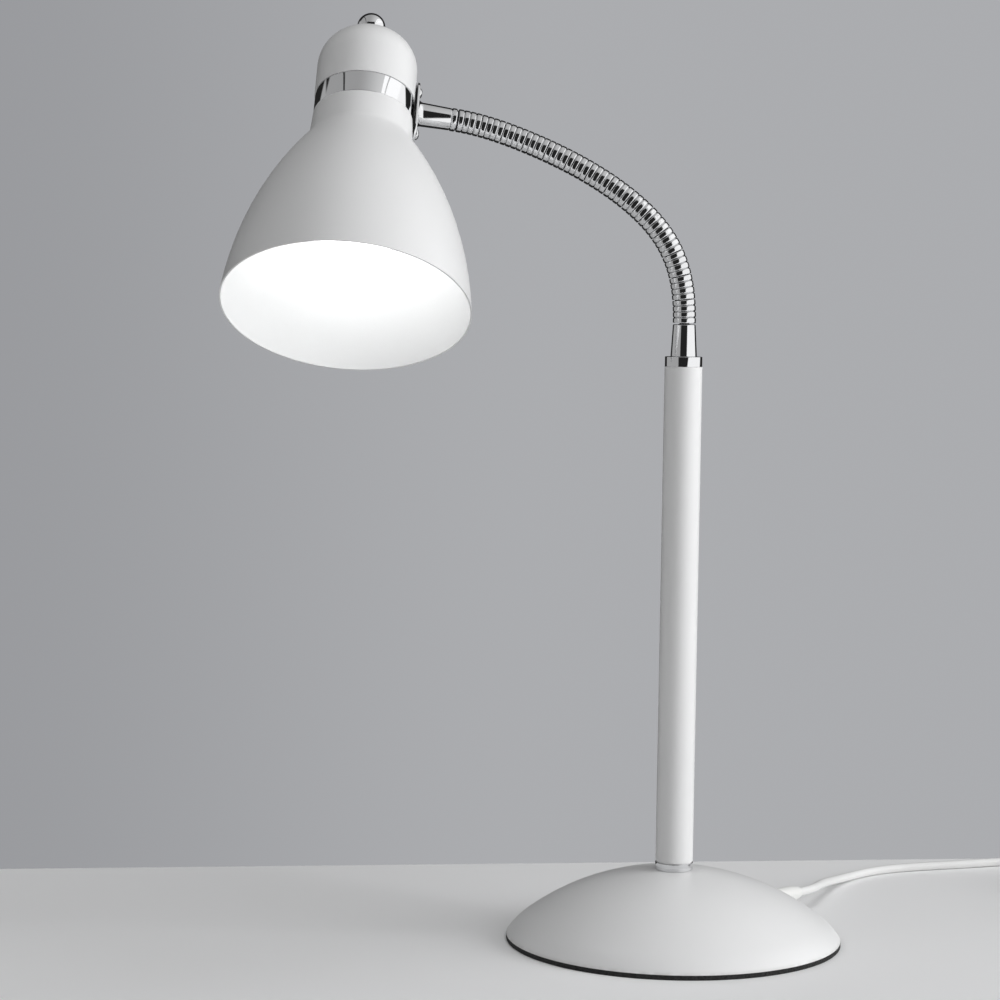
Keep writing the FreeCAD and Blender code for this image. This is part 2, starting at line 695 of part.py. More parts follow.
def head_frame(head):
    """The bracket inside the head, the threaded nipple and the nuts."""
    node(turned("Nipple", [("nipple_bore", "nipple_bottom"), ("nipple_radius", "nipple_bottom"),
                           ("nipple_radius", "nipple_top"), ("nipple_bore", "nipple_top")]),
         "head_nipple", head)
    face, wall, half = size("bracket_face"), size("bracket_wall"), size("bracket_half_width")
    shelf = size("shelf_bottom")
    leg = block((face, -half, -5.6), wall, half * 2, shelf + 5.6 + wall)
    neck = block((15.0, -half, shelf), face - 15.0 + wall, half * 2, wall)
    plate = block((-9.0, -9.0, shelf), 27.0, 18.0, wall)
    through = solid("Cylinder", (0, 0, 15), None, Radius=size("nipple_radius") + 0.1, Height=8.0)
    port = solid("Cylinder", (15, 0, 0), ALONG_X, Radius=size("stub_radius") + "fit", Height=12.0)
    tap = solid("Cylinder", (15, 0, "flange_screw_offset"), ALONG_X, Radius="screw_hole",
                Height=12.0)
    node(drilled(joined(leg, neck, plate), through, port, tap), "head_bracket", head)

    thread = size("nipple_radius") + "fit"
    height = 3.5
    nuts = []
    for up in (shelf - height - 0.02, shelf + wall + 0.02):
        nut = solid("Prism", (0, 0, up), None, Polygon=6, Circumradius="nut_radius", Height=height)
        hole = solid("Cylinder", (0, 0, up - 0.5), None, Radius=thread, Height=height + 1.0)
        nuts.append(drilled(nut, hole))
    spot = -size("flange_screw_offset")
    strip = block((face + 0.5, -4.0, spot - 3.6), wall, 8.0, 7.2)
    strip_tap = solid("Cylinder", (face, 0, spot), ALONG_X, Radius="screw_hole", Height=4.0)
    node(grouped(*nuts, drilled(strip, strip_tap)), "head_nuts", head)


def lampholder(head):
    """The screw lampholder that clamps the shade, its contacts and its wires."""
    outer, wall, dome = size("holder_radius"), size("holder_wall"), size("holder_dome_radius")
    shade_top = -size("band_bottom")
    bore = size("nipple_radius") + "fit"
    room = outer + 0.1
    cover = turned("HolderDome", [
        (bore, 1.6), (8.0, 1.6), (8.0, 0), (dome - 3.5, 0), (dome, -3.4, 3.6, 1),
        (dome, shade_top), (room, shade_top), (room, -2.2), (bore, -2.2),
    ])
    wire_spots = (-7.0, 7.0)
    ways = [solid("Cylinder", (-9.0, y, -4), None, Radius=1.5, Height=6.0) for y in wire_spots]
    node(drilled(cover, *ways), "lampholder_dome", head)
    bottom = -size("holder_bottom")
    node(turned("HolderSkirt", [
        (outer - wall, bottom), (outer, bottom), (outer, -2.3), (outer - wall, -2.3),
    ]), "lampholder_skirt", head)
    ring = shade_top - "head_wall" - 0.1
    inner_ring = outer + "fit"
    node(turned("ShadeRing", [
        (inner_ring, ring - 5.0), (inner_ring + 1.6, ring - 5.0), (inner_ring + 1.6, ring - 1.6),
        (inner_ring + 2.7, ring - 1.6), (inner_ring + 2.7, ring), (inner_ring, ring),
    ]), "shade_ring", head)
    insert_radius = outer - wall - "fit"
    insert = turned("Insert", [(0, -16.0), (insert_radius, -16.0), (insert_radius, -9.0), (0, -9.0)])
    ways = [solid("Cylinder", (-9.0, y, -17), None, Radius=1.4, Height=9.0) for y in wire_spots]
    node(drilled(insert, *ways), "lampholder_insert", head)

    sleeve, thin = size("sleeve_radius"), size("sleeve_wall")
    tube_part = turned("Sleeve", [
        (sleeve - thin, -46.0), (sleeve, -46.0), (sleeve, -16.05), (sleeve - thin, -16.05),
    ])
    root = block((-5.0, -2.5, -16.7), 7.0, 5.0, 0.6)
    drop = block((-5.0, -2.5, -20.6), 0.6, 5.0, 4.2)
    tip = block((-5.0, -2.5, -21.1), 8.0, 5.0, 0.6)
    node(grouped(tube_part, joined(root, drop, tip)), "lampholder_contacts", head)

    wires = []
    for side in (-1, 1):
        route = [(25.5, 1.2 * side, 0.0), (20.5, 1.5 * side, 0.6), (12.0, 8.5 * side, 4.0),
                 (2.0, 12.0 * side, 4.6), (-7.0, 10.5 * side, 4.6), (-9.0, 7.0 * side, 3.4),
                 (-9.0, 7.0 * side, -8.5)]
        wires.append(swept(route, 1.0)[0])
    feature = doc.addObject("Part::Feature", "HeadWires")
    feature.Shape = Part.Compound(wires)
    node(feature, "head_wires", head)


def bulb(head):
    """A round bulb with a screw cap, seated in the lampholder."""
    cap, thin = size("bulb_cap_radius"), size("bulb_cap_wall")
    top, bottom = -size("bulb_cap_top"), -size("bulb_cap_bottom")
    node(turned("BulbCap", [
        (8.0, top), (8.0, top - 0.4), (10.8, top - 0.4), (cap - thin, top - 2.8),
        (cap - thin, bottom), (cap, bottom), (cap, top - 2.6), (11.0, top),
    ]), "bulb_cap", head)
    node(turned("BulbContact", [
        (0, top - 1.0), (7.9, top - 1.0), (7.9, top + 0.4), (4.6, top + 1.6), (4.4, top + 2.4),
        (0, top + 2.6),
    ]), "bulb_contact", head)
    neck, globe, middle = size("bulb_neck"), size("bulb_radius"), -size("bulb_centre")
    glass, joint = size("glass_wall"), size("bulb_joint")
    bend = size("bulb_neck_curve")
    inner_globe, inner_joint = globe - glass, joint - 0.5
    neck_end = bottom - 3.0
    node(turned("BulbGlass", [
        (neck, bottom + 1.5), (neck, neck_end),
        (joint, middle + across(globe, joint), bend, -1),
        (0, middle - globe, globe, 1),
        (0, middle - inner_globe),
        (inner_joint, middle + across(inner_globe, inner_joint), inner_globe, -1),
        (neck - glass, neck_end, bend + glass, 1),
        (neck - glass, bottom + 1.5),
    ]), "bulb_glass", head)
    stem = turned("Stem", [
        (0, bottom - 20.0), (2.0, bottom - 20.0), (3.2, bottom - 4.0), (7.5, bottom + 1.0),
        (0, bottom + 1.0),
    ])
    rods = [solid("Cylinder", (0, y, bottom - 28.0), None, Radius=0.8, Height=9.0)
            for y in (-1.6, 1.6)]
    coil = solid("Cylinder", (0, -7.0, bottom - 28.0), ALONG_Y, Radius=1.0, Height=14.0)
    node(joined(stem, coil, *rods), "bulb_stem", head)


def switch():
    """The rocker switch on the cord, in two halves."""
    start = Vector(*LEAD_ROUTE[-1])
    turn = about_z(SWITCH_ANGLE)
    middle = start + turn.multVec(Vector(SIZES["switch_length"] / 2, 0, 0))
    place = Placement(Vector(middle.x, middle.y, 0), turn)
    length, width, wall = size("switch_length"), size("switch_width"), size("switch_wall")
    split, top = size("switch_split"), size("switch_top")
    room_length, room_width = length - wall * 2, width - wall * 2
    posts_at = (-22.0, 22.0)

    lower = padded("SwitchLower", rectangle(length, width), split - 0.02, "switch_corner")
    room = block((-room_length / 2, -room_width / 2, wall), room_length, room_width, split)
    posts = [solid("Cylinder", (x, 0, wall - 0.2), None, Radius=3.2, Height=split - wall)
             for x in posts_at]
    holes = [solid("Cylinder", (x, 0, -1), None, Radius=1.6, Height=12.0) for x in posts_at]
    cheek = 1.6
    cheeks = [block((-3.0, y, wall - 0.2), 6.0, cheek, "cheek_top")
              for y in (size("cheek_gap"), -size("cheek_gap") - cheek)]
    bearing = solid("Cylinder", (0, -12.0, "rocker_pivot"), ALONG_Y,
                    Radius=size("axle_radius") + 0.1, Height=24.0)
    shell = joined(drilled(lower, room), *posts, *cheeks)
    node(drilled(shell, *holes, bearing), "switch_base", place)

    cover = grouped(padded("SwitchCover", rectangle(length, width), top - split, "switch_corner"))
    bind(cover, "Placement.Base.z", split)
    room = block((-room_length / 2, -room_width / 2, split - 1), room_length, room_width,
                 top - split - wall + 1)
    long, wide = size("rocker_length"), size("rocker_width")
    gap = 0.7
    window = block((-long / 2 - gap, -wide / 2 - gap, split), long + gap * 2, wide + gap * 2, 12.0)
    node(drilled(cover, room, window), "switch_cover", place)

    screws = []
    for x in posts_at:
        shank = solid("Cylinder", (x, 0, 0.6), None, Radius=1.45, Height=9.0)
        drive = block((x - 1.5, -0.25, 0.5), 3.0, 0.5, 0.6)
        screws.append(drilled(shank, drive))
    node(grouped(*screws), "switch_screws", place)

    body = doc.addObject("PartDesign::Body", "Rocker")
    half = long / 2
    sketch = outline_sketch(body, "XZ_Plane", [
        (-half, 1.4), (-half + 2.5, -3.2), (half - 2.5, -3.2), (half, 1.4),
        (half, 5.6), (-half, 5.6, "rocker_dish", 1),
    ])
    pad = body.newObject("PartDesign::Pad", "Pad")
    pad.Profile = sketch
    pad.Midplane = True
    bind(pad, "Length", wide)
    axle_half = size("cheek_gap") + cheek
    axle = solid("Cylinder", (0, -axle_half, 0), ALONG_Y, Radius="axle_radius",
                 Height=axle_half * 2)
    pivot = Placement(Vector(0, 0, SIZES["rocker_pivot"]), Rotation(Vector(0, 1, 0), SWITCH_TILT))
    node(joined(body, axle), "switch_rocker", place.multiply(pivot))


def plug():
    """A flat two-pin plug lying beside the coil."""
    start = Vector(*END_ROUTE[-1])
    place = Placement(Vector(start.x, start.y, 0), about_z(PLUG_ANGLE))
    length, half_width, height = size("plug_length"), size("plug_width") / 2, size("plug_height")
    body = padded("PlugBody", [
        (0, -5.0), (9.0, -6.0), (16.0, -half_width), (length, -half_width), (length, half_width),
        (16.0, half_width), (9.0, 6.0), (0, 5.0),
    ], height, 1.8)
    grips = [block((19.0 + 2.6 * step, -14.0, height - 0.7), 1.3, 28.0, 1.0) for step in range(4)]
    node(drilled(body, *grips), "plug_body", place)
    half = size("pin_spacing") / 2
    pins = [solid("Cylinder", (length + 0.02, y, height / 2), ALONG_X, Radius="pin_radius",
                  Height="pin_length") for y in (-half, half)]
    node(grouped(*pins), "plug_pins", place)


def coil():
    """The cord's unseen length, put away as a flat coil with a tie round it."""
    inner, outer, bevel = size("coil_inner"), size("coil_outer"), size("coil_bevel")
    low, high = size("coil_bottom"), size("coil_top")
    place = Placement(Vector(COIL_CENTRE[0], COIL_CENTRE[1], 0), Rotation())
    node(turned("Coil", [
        (inner + bevel, low), (outer - bevel, low), (outer, low + bevel), (outer, high - bevel),
        (outer - bevel, high), (inner + bevel, high), (inner, high - bevel), (inner, low + bevel),
    ]), "cord_coil", place)
    tie, wide = size("tie_wall"), size("tie_width")
    slack = 0.2
    across_coil = outer - inner + slack * 2
    start = -outer - slack
    loop = block((start - tie, -wide / 2, 0), across_coil + tie * 2, wide, high + tie + 0.1)
    room = block((start, -wide, tie), across_coil, wide * 2, high - tie + 0.1)
    node(drilled(loop, room), "coil_tie", place)


SCREW_SPOTS = []
for step in range(3):
    bearing = math.radians(GLAND_ANGLE + 60 + 120 * step)
    SCREW_SPOTS.append((size("plate_screw_circle") * math.cos(bearing),
                        size("plate_screw_circle") * math.sin(bearing)))

base_shell()
base_weight(SCREW_SPOTS)
base_plate(SCREW_SPOTS)
rod_fixings()
cord_gland()
pole()
inner_flex()
lower_ferrule()
links, neck_end, last_heading = neck_frames()
for number, link in enumerate(links, start=1):
    neck_link(number, *link)
head = head_placement(neck_end, last_heading)
upper_ferrule(neck_end, last_heading, head)
flange(head)
head_band(head)
head_cap(head)
shade(head)
head_frame(head)
lampholder(head)
bulb(head)
tube("cord_lead", LEAD_ROUTE, SIZES["cord_radius"])
switch()
tube("cord_tail", TAIL_ROUTE, SIZES["cord_radius"])
coil()
tube("cord_end", END_ROUTE, SIZES["cord_radius"])
plug()
doc.recompute()

for thing in doc.Objects:
    if "Invalid" in thing.State or "Error" in thing.State:
        raise RuntimeError("%s (%s) failed: %s" % (thing.Name, thing.Label, thing.State))
for thing in NODES:
    if thing.Shape.isNull() or not thing.Shape.isValid() or thing.Shape.Volume <= 0:
        raise RuntimeError("%s has no valid shape" % thing.Label)

print("nodes", len(NODES))
print("neck end", neck_end, "heading", last_heading)
print("head at", head.Base, "axis", head.Rotation.multVec(Vector(0, 0, 1)))
os.makedirs("parts", exist_ok=True)
for thing in NODES:
    thing.Shape.exportStep("parts/%s.step" % thing.Label)
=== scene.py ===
# %% [markdown]
# # A gooseneck desk lamp in white enamel and chrome
#
# The lamp has a weighted dome for a base, an upright pole, a ribbed metal gooseneck and a
# bell-shaped shade. Its solids come from CAD. This lesson gives them their looks: smooth pieces
# for what shows, a finish for every part, and a camera, a floor and soft light.

# %% Load the solids
import json
import math

import bmesh
import bpy
from mathutils import Matrix, Quaternion, Vector


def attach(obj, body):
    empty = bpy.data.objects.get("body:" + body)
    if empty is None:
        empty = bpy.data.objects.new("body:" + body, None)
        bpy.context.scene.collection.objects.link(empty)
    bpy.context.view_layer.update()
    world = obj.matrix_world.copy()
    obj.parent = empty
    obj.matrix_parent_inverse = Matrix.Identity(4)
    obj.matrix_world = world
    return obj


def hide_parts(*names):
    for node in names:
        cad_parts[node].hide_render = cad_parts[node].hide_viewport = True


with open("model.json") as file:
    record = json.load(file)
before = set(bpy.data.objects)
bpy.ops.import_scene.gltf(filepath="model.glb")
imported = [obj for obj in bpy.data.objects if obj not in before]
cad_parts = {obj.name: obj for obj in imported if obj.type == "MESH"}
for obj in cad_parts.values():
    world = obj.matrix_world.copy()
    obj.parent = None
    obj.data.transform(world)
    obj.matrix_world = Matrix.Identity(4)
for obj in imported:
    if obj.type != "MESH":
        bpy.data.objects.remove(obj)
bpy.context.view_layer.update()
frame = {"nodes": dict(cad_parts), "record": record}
scene = bpy.context.scene
MM = 0.001

# %% [markdown]
# ## The camera
#
# A product photographer uses a long lens so that the lamp isn't distorted. A camera could be
# aimed with a constraint, but here its pan, tilt and roll are known, so it is simply turned.

# %% Camera
CAMERA_PLACE = Vector((0.0, -1.4889, 0.3519))
CAMERA_LENS = 100.8
PAN, TILT, ROLL = math.radians(3.708), math.radians(-4.456), math.radians(0.8)

camera_data = bpy.data.cameras.new("camera")
camera_data.sensor_width = 36.0
camera_data.lens = CAMERA_LENS
camera = bpy.data.objects.new("camera", camera_data)
scene.collection.objects.link(camera)
camera.matrix_world = (
    Matrix.Translation(CAMERA_PLACE)
    @ Matrix.Rotation(PAN, 4, "Z")
    @ Matrix.Rotation(math.radians(90) + TILT, 4, "X")
    @ Matrix.Rotation(ROLL, 4, "Z")
)
scene.camera = camera
print("camera looks along", camera.matrix_world.to_quaternion() @ Vector((0, 0, -1)))

# %% [markdown]
# ## Node trees written as sums
#
# Materials and Geometry Nodes are both node trees. They could be wired by hand in the editor.
# In a script it reads better when a wire can be added and multiplied like a number, so a small
# class wraps an output and each sum on it adds the node that does it.


# %% Wires and boards
class Wire:
    """One output of a node. Arithmetic on it adds the nodes that work it out."""

    def __init__(self, board, socket):
        self.board = board
        self.socket = socket

    def math(self, operation, first, second=0.0):
        return self.board.node("ShaderNodeMath", {"operation": operation}, {0: first, 1: second})

    def __add__(self, other):
        return self.math("ADD", self, other)

    def __radd__(self, other):
        return self.math("ADD", other, self)

    def __sub__(self, other):
        return self.math("SUBTRACT", self, other)

    def __rsub__(self, other):
        return self.math("SUBTRACT", other, self)

    def __mul__(self, other):
        return self.math("MULTIPLY", self, other)

    def __rmul__(self, other):
        return self.math("MULTIPLY", other, self)

    def __truediv__(self, other):
        return self.math("DIVIDE", self, other)

    def __pow__(self, other):
        return self.math("POWER", self, other)

    def size(self):
        return self.math("ABSOLUTE", self)

    def fraction(self):
        return self.math("FRACT", self)

    def ramp(self, low, high):
        """0 below low and 1 above high, smooth in between."""
        return self.board.node("ShaderNodeMapRange", {"interpolation_type": "SMOOTHSTEP"},
                               {"Value": self, "From Min": low, "From Max": high})


class Board:
    """A node tree, with one way to add a node to it."""

    def __init__(self, tree):
        self.tree = tree

    def node(self, kind, settings=None, values=None, out=0):
        made = self.tree.nodes.new(kind)
        for key, value in (settings or {}).items():
            setattr(made, key, value)
        for key, value in (values or {}).items():
            self.feed(made.inputs[key], value)
        return Wire(self, made.outputs[out])

    def feed(self, socket, value):
        if isinstance(value, Wire):
            self.tree.links.new(value.socket, socket)
        else:
            socket.default_value = value

    def mix(self, share, low, high):
        """A colour between low and high."""
        return self.node("ShaderNodeMix", {"data_type": "RGBA"}, {0: share, 6: low, 7: high}, 2)


def tone(red, green=None, blue=None):
    """A colour with its alpha; one number gives a grey."""
    if green is None:
        return (red, red, red, 1.0)
    return (red, green, blue, 1.0)


# %% [markdown]
# ## Finishes
#
# Every finish sits on the principled shader. What is the same all over a surface is set on the
# shader itself. What varies, such as the faint ripple of sprayed enamel, comes from noise on the
# object's own coordinates, which are in metres, so a noise scale of 1000 gives millimetre grain.


# %% The finish class
class Finish(Board):
    """A procedural material. Its place is the object's own coordinates in metres."""

    def __init__(self, name, colour, **numbers):
        self.material = bpy.data.materials.new(name)
        self.material.use_nodes = True
        super().__init__(self.material.node_tree)
        self.shader = self.tree.nodes["Principled BSDF"]
        self.place = self.node("ShaderNodeTexCoord", out="Object")
        self.shader.inputs["Base Color"].default_value = colour
        for key, value in numbers.items():
            self.shader.inputs[key.replace("_", " ")].default_value = value
        FINISHES[name] = self

    def noise(self, scale, detail=2.0):
        return self.node("ShaderNodeTexNoise", None,
                         {"Vector": self.place, "Scale": scale, "Detail": detail})

    def drive(self, socket, value):
        self.feed(self.shader.inputs[socket], value)

    def relief(self, height, distance):
        """A bump of this depth in metres."""
        self.drive("Normal", self.node("ShaderNodeBump", None, {"Distance": distance,
                                                                 "Height": height}))


FINISHES = {}

# %% [markdown]
# ### White enamel
#
# Satin enamel is sprayed on spun steel and baked. It has a very fine orange-peel ripple and is
# never quite even. The lowest few millimetres above the table get painted shade: a patchy grey
# that stands for the table's shadow and its grey reflection on the base's edge.

# %% White enamel
enamel = Finish("white_enamel", tone(0.82), Roughness=0.42, Coat_Weight=0.12, Coat_Roughness=0.25)
cloud = enamel.noise(14.0)
colour = enamel.mix(cloud, tone(0.80, 0.80, 0.80), tone(0.84, 0.84, 0.835))
up = enamel.node("ShaderNodeSeparateXYZ", None, {"Vector": enamel.place}, "Z")
# Painted shade: patchy grey on the enamel below about 4 mm, where the table shades it.
low_edge_painted_shade = (1.0 - up.ramp(0.0025, 0.0045)) * enamel.noise(160.0).ramp(0.3, 0.6)
enamel.drive("Base Color", enamel.mix(low_edge_painted_shade * 0.35, colour, tone(0.42, 0.41, 0.39)))
enamel.drive("Roughness", 0.38 + cloud * 0.08)
enamel.relief(enamel.noise(900.0, 1.0), 0.000012)

# %% [markdown]
# ### Chrome
#
# Plated steel is a mirror with faint smudges and hair scratches. The smudges only change the
# roughness. The hose has the same plate, rougher in its grooves and painted near-black there as
# painted shade: the mesh carries a number named crest, 1 on a rib and 0 in a groove, and the
# material reads it.

# %% Chrome, plain and on the hose
SCRATCH_STRETCH = (1.0, 1.0, 24.0)


def chrome(name, colour, roughness):
    plate = Finish(name, colour, Metallic=1.0, Roughness=roughness)
    smudge = plate.noise(60.0, 3.0)
    stretched = plate.node("ShaderNodeVectorMath", {"operation": "MULTIPLY"},
                           {0: plate.place, 1: SCRATCH_STRETCH})
    hair = plate.node("ShaderNodeTexNoise", None, {"Vector": stretched, "Scale": 420.0})
    plate.drive("Roughness", roughness + smudge.ramp(0.45, 0.75) * 0.06)
    plate.relief(hair, 0.000002)
    return plate


chrome("chrome", tone(0.74, 0.745, 0.755), 0.05)
hose_plate = chrome("hose_chrome", tone(0.74, 0.745, 0.755), 0.09)
crest = hose_plate.node("ShaderNodeAttribute", {"attribute_name": "crest"}, None, "Fac")
# Painted shade: the grooves' colour falls to near-black, and the crests keep the chrome colour.
crest_unshaded = crest.ramp(0.05, 0.6)
hose_plate.drive("Base Color", hose_plate.mix(crest_unshaded, tone(0.05, 0.05, 0.055),
                                              tone(0.72, 0.725, 0.735)))
hose_plate.drive("Roughness", 0.42 - crest_unshaded * 0.32)

# %% [markdown]
# ### Foam, plastics and the cord's sheath
#
# Foam rubber is black and full of pores, which a Voronoi texture gives. The moulded plastics have
# the fine sparkle of a spark-eroded mould. The cord's soft sheath is smoother, and handling
# leaves it slightly uneven in tone.

# %% Foam, plastics and sheath
foam = Finish("foam", tone(0.02), Roughness=0.9)
pores = foam.node("ShaderNodeTexVoronoi", None, {"Vector": foam.place, "Scale": 900.0})
foam.drive("Base Color", foam.mix(pores, tone(0.006), tone(0.035)))
foam.relief(pores, 0.00025)


def moulding(name, dark, light, roughness, grain, depth, **numbers):
    """A moulded plastic between two close colours, with a fine grain of this scale."""
    plastic = Finish(name, light, Roughness=roughness, **numbers)
    shade_of = plastic.noise(45.0, 3.0)
    plastic.drive("Base Color", plastic.mix(shade_of, dark, light))
    plastic.drive("Roughness", roughness + shade_of * 0.08)
    plastic.relief(plastic.noise(grain, 1.0), depth)
    return plastic


moulding("white_plastic", tone(0.77, 0.77, 0.75), tone(0.81, 0.81, 0.79), 0.46, 2600.0, 0.00002)
moulding("white_pvc", tone(0.76, 0.76, 0.75), tone(0.82, 0.82, 0.81), 0.40, 700.0, 0.000015)
moulding("grey_insulation", tone(0.16), tone(0.20), 0.5, 700.0, 0.000015)
moulding("holder_plastic", tone(0.72, 0.71, 0.68), tone(0.77, 0.76, 0.73), 0.2, 500.0, 0.00001)
moulding("tie_black", tone(0.012), tone(0.03), 0.5, 1500.0, 0.00002)

# %% [markdown]
# ### Cast iron, zinc and the small metals
#
# Hidden parts get honest finishes too, because the model can be opened up. Cast iron is coarse,
# zinc plate has cloudy patches, and the lampholder's contacts are brass.


# %% Metals out of sight
def metal(name, dark, light, roughness, cloud_scale, grain, depth, metallic=1.0):
    """A metal whose tone drifts between two colours, with a grain of this scale and depth."""
    plate = Finish(name, light, Metallic=metallic, Roughness=roughness)
    drift = plate.noise(cloud_scale, 3.0)
    plate.drive("Base Color", plate.mix(drift, dark, light))
    plate.drive("Roughness", roughness - 0.05 + drift * 0.15)
    plate.relief(plate.noise(grain, 3.0), depth)
    return plate


metal("cast_weight", tone(0.03), tone(0.07), 0.7, 120.0, 600.0, 0.0002, 0.3)
metal("zinc_steel", tone(0.50, 0.51, 0.50), tone(0.62, 0.62, 0.60), 0.32, 260.0, 1500.0, 0.00001)
metal("brass", tone(0.62, 0.42, 0.14), tone(0.75, 0.55, 0.24), 0.25, 200.0, 900.0, 0.00001)
metal("cap_aluminium", tone(0.66), tone(0.74), 0.3, 200.0, 1200.0, 0.00001)
metal("contact_solder", tone(0.3), tone(0.5), 0.4, 500.0, 900.0, 0.00003)

# %% [markdown]
# ### The bulb's glass
#
# The lamp is lit, and the opal bulb is only a faint disc in a bright shade. The glass is a plain
# white shader that gives light. Its strength is low, so that the enamel around it stays readable.

# %% Bulb glass
BULB_LIGHT = 3.9
bulb_glow = Finish("bulb_glass", tone(0.85), Roughness=0.3, Emission_Strength=BULB_LIGHT)
bulb_glow.drive("Emission Color", bulb_glow.mix(bulb_glow.noise(50.0), tone(0.97, 0.985, 0.99),
                                                tone(0.98, 0.99, 1.0)))
print("finishes", sorted(FINISHES))

# %% [markdown]
# ## Every solid gets its finish
#
# The record names a material slot for each solid. A solid that stays visible takes the finish of
# that slot, so nothing is left with a flat colour.

# %% Finish the solids
SLOTS = {part["node"]: part["material_slot"] for part in frame["record"]["subparts"]}
for name, solid in frame["nodes"].items():
    solid.data.materials.clear()
    solid.data.materials.append(FINISHES[SLOTS[name]].material)
print("finished solids", len(SLOTS))

# %% [markdown]
# ## Turned pieces
#
# Base, pole, rings, cap and shade are all round, so each is one outline turned about an axis. The
# Screw modifier could do it, but writing the rings directly keeps control of rounded corners and
# of poles. An outline is a closed list of (radius, height) points in millimetres. A third number
# rounds that corner; a third and fourth say that an arc of that radius ends there, bulging to the
# left (+1) or right (-1) of the travel.

# %% Outlines and turning
ARC_STEP = math.radians(3)
CORNER_STEPS = 5


def arc_points(start, end, radius, side):
    """Places on the short arc from start to end, without start."""
    chord = end - start
    left = Vector((-chord.y, chord.x)).normalized()
    half_angle = math.asin(min(1.0, chord.length / 2 / radius))
    centre = (start + end) / 2 - left * side * radius * math.cos(half_angle)
    steps = max(3, math.ceil(2 * half_angle / ARC_STEP))
    first = start - centre
    places = []
    for step in range(1, steps + 1):
        turn = Matrix.Rotation(-side * 2 * half_angle * step / steps, 2)
        places.append(centre + turn @ first)
    return places


def outline(points):
    """The full outline, with its arcs drawn and its corners rounded."""
    drawn = []
    for index, point in enumerate(points):
        here = Vector(point[:2])
        if len(point) == 4:
            before = Vector(points[index - 1][:2])
            drawn += [(place, 0.0) for place in arc_points(before, here, point[2], point[3])]
        else:
            drawn.append((here, point[2] if len(point) == 3 else 0.0))
    rounded = []
    for index, (here, setback) in enumerate(drawn):
        if not setback:
            rounded.append(tuple(here))
            continue
        before = drawn[index - 1][0]
        after = drawn[(index + 1) % len(drawn)][0]
        start = here + (before - here).normalized() * setback
        end = here + (after - here).normalized() * setback
        for step in range(CORNER_STEPS + 1):
            share = step / CORNER_STEPS
            rounded.append(tuple(start * (1 - share) ** 2 + here * 2 * share * (1 - share)
                                 + end * share ** 2))
    return rounded


def turned(points, steps):
    """Points and faces of an outline turned about Z."""
    places, rings = [], []
    for radius, height in outline(points):
        if radius < 1e-6:
            rings.append([len(places)] * steps)
            places.append((0.0, 0.0, height))
            continue
        rings.append(range(len(places), len(places) + steps))
        for step in range(steps):
            angle = 2 * math.pi * step / steps
            places.append((radius * math.cos(angle), radius * math.sin(angle), height))
    return places, bridged(rings, closed=True)


def bridged(rings, closed):
    """Faces between rings of equally many points; closed joins the last ring to the first."""
    faces = []
    pairs = list(zip(rings, rings[1:]))
    if closed:
        pairs.append((rings[-1], rings[0]))
    for low, high in pairs:
        for step in range(len(low)):
            after = (step + 1) % len(low)
            corners = dict.fromkeys((low[step], low[after], high[after], high[step]))
            if len(corners) > 2:
                faces.append(list(corners))
    return faces


# %% [markdown]
# ## From points to a piece
#
# Every piece is finished in the same way: its points are put in place, doubled points are merged,
# the faces are turned outward, and edges sharper than a limit stay crisp while the rest is smooth.
# Then it rides on a body and stands for the solids that it replaces.

# %% Making pieces
CREASE = math.radians(38)


def make_piece(name, places, faces, finish, body, stands_for=(), frame_at=Matrix()):
    """A mesh piece from points in millimetres in a frame."""
    mesh = bpy.data.meshes.new(name)
    mesh.from_pydata([(frame_at @ Vector(place)) * MM for place in places], [], faces)
    piece = bpy.data.objects.new(name, mesh)
    scene.collection.objects.link(piece)
    return settle(piece, finish, body, stands_for)


def settle(piece, finish, body, stands_for=()):
    """Cleans a piece's mesh, finishes it, and ties it to its body and its solids."""
    mesh = piece.data
    work = bmesh.new()
    work.from_mesh(mesh)
    bmesh.ops.remove_doubles(work, verts=work.verts, dist=1e-7)
    bmesh.ops.recalc_face_normals(work, faces=work.faces)
    for face in work.faces:
        face.smooth = True
    for edge in work.edges:
        edge.smooth = len(edge.link_faces) == 2 and edge.calc_face_angle(0.0) < CREASE
    work.to_mesh(mesh)
    work.free()
    mesh.materials.clear()
    mesh.materials.append(FINISHES[finish].material)
    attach(piece, body)
    if stands_for:
        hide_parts(*stands_for)
    return piece


def turn_piece(name, points, finish, body, stands_for=(), frame_at=Matrix(), steps=96):
    """A turned piece."""
    places, faces = turned(points, steps)
    return make_piece(name, places, faces, finish, body, stands_for, frame_at)


# %% [markdown]
# ## The cord
#
# A mains cord is one length of round flex. It could be a mesh tube, but a curve with a bevel is
# what it is: one open NURBS spline whose control points are its route. It leaves the base through
# a small sleeve, drops to the table and runs off to the right. Out of the picture it goes through
# a switch, and the spare length is put away as a small tied coil with the plug beside it.

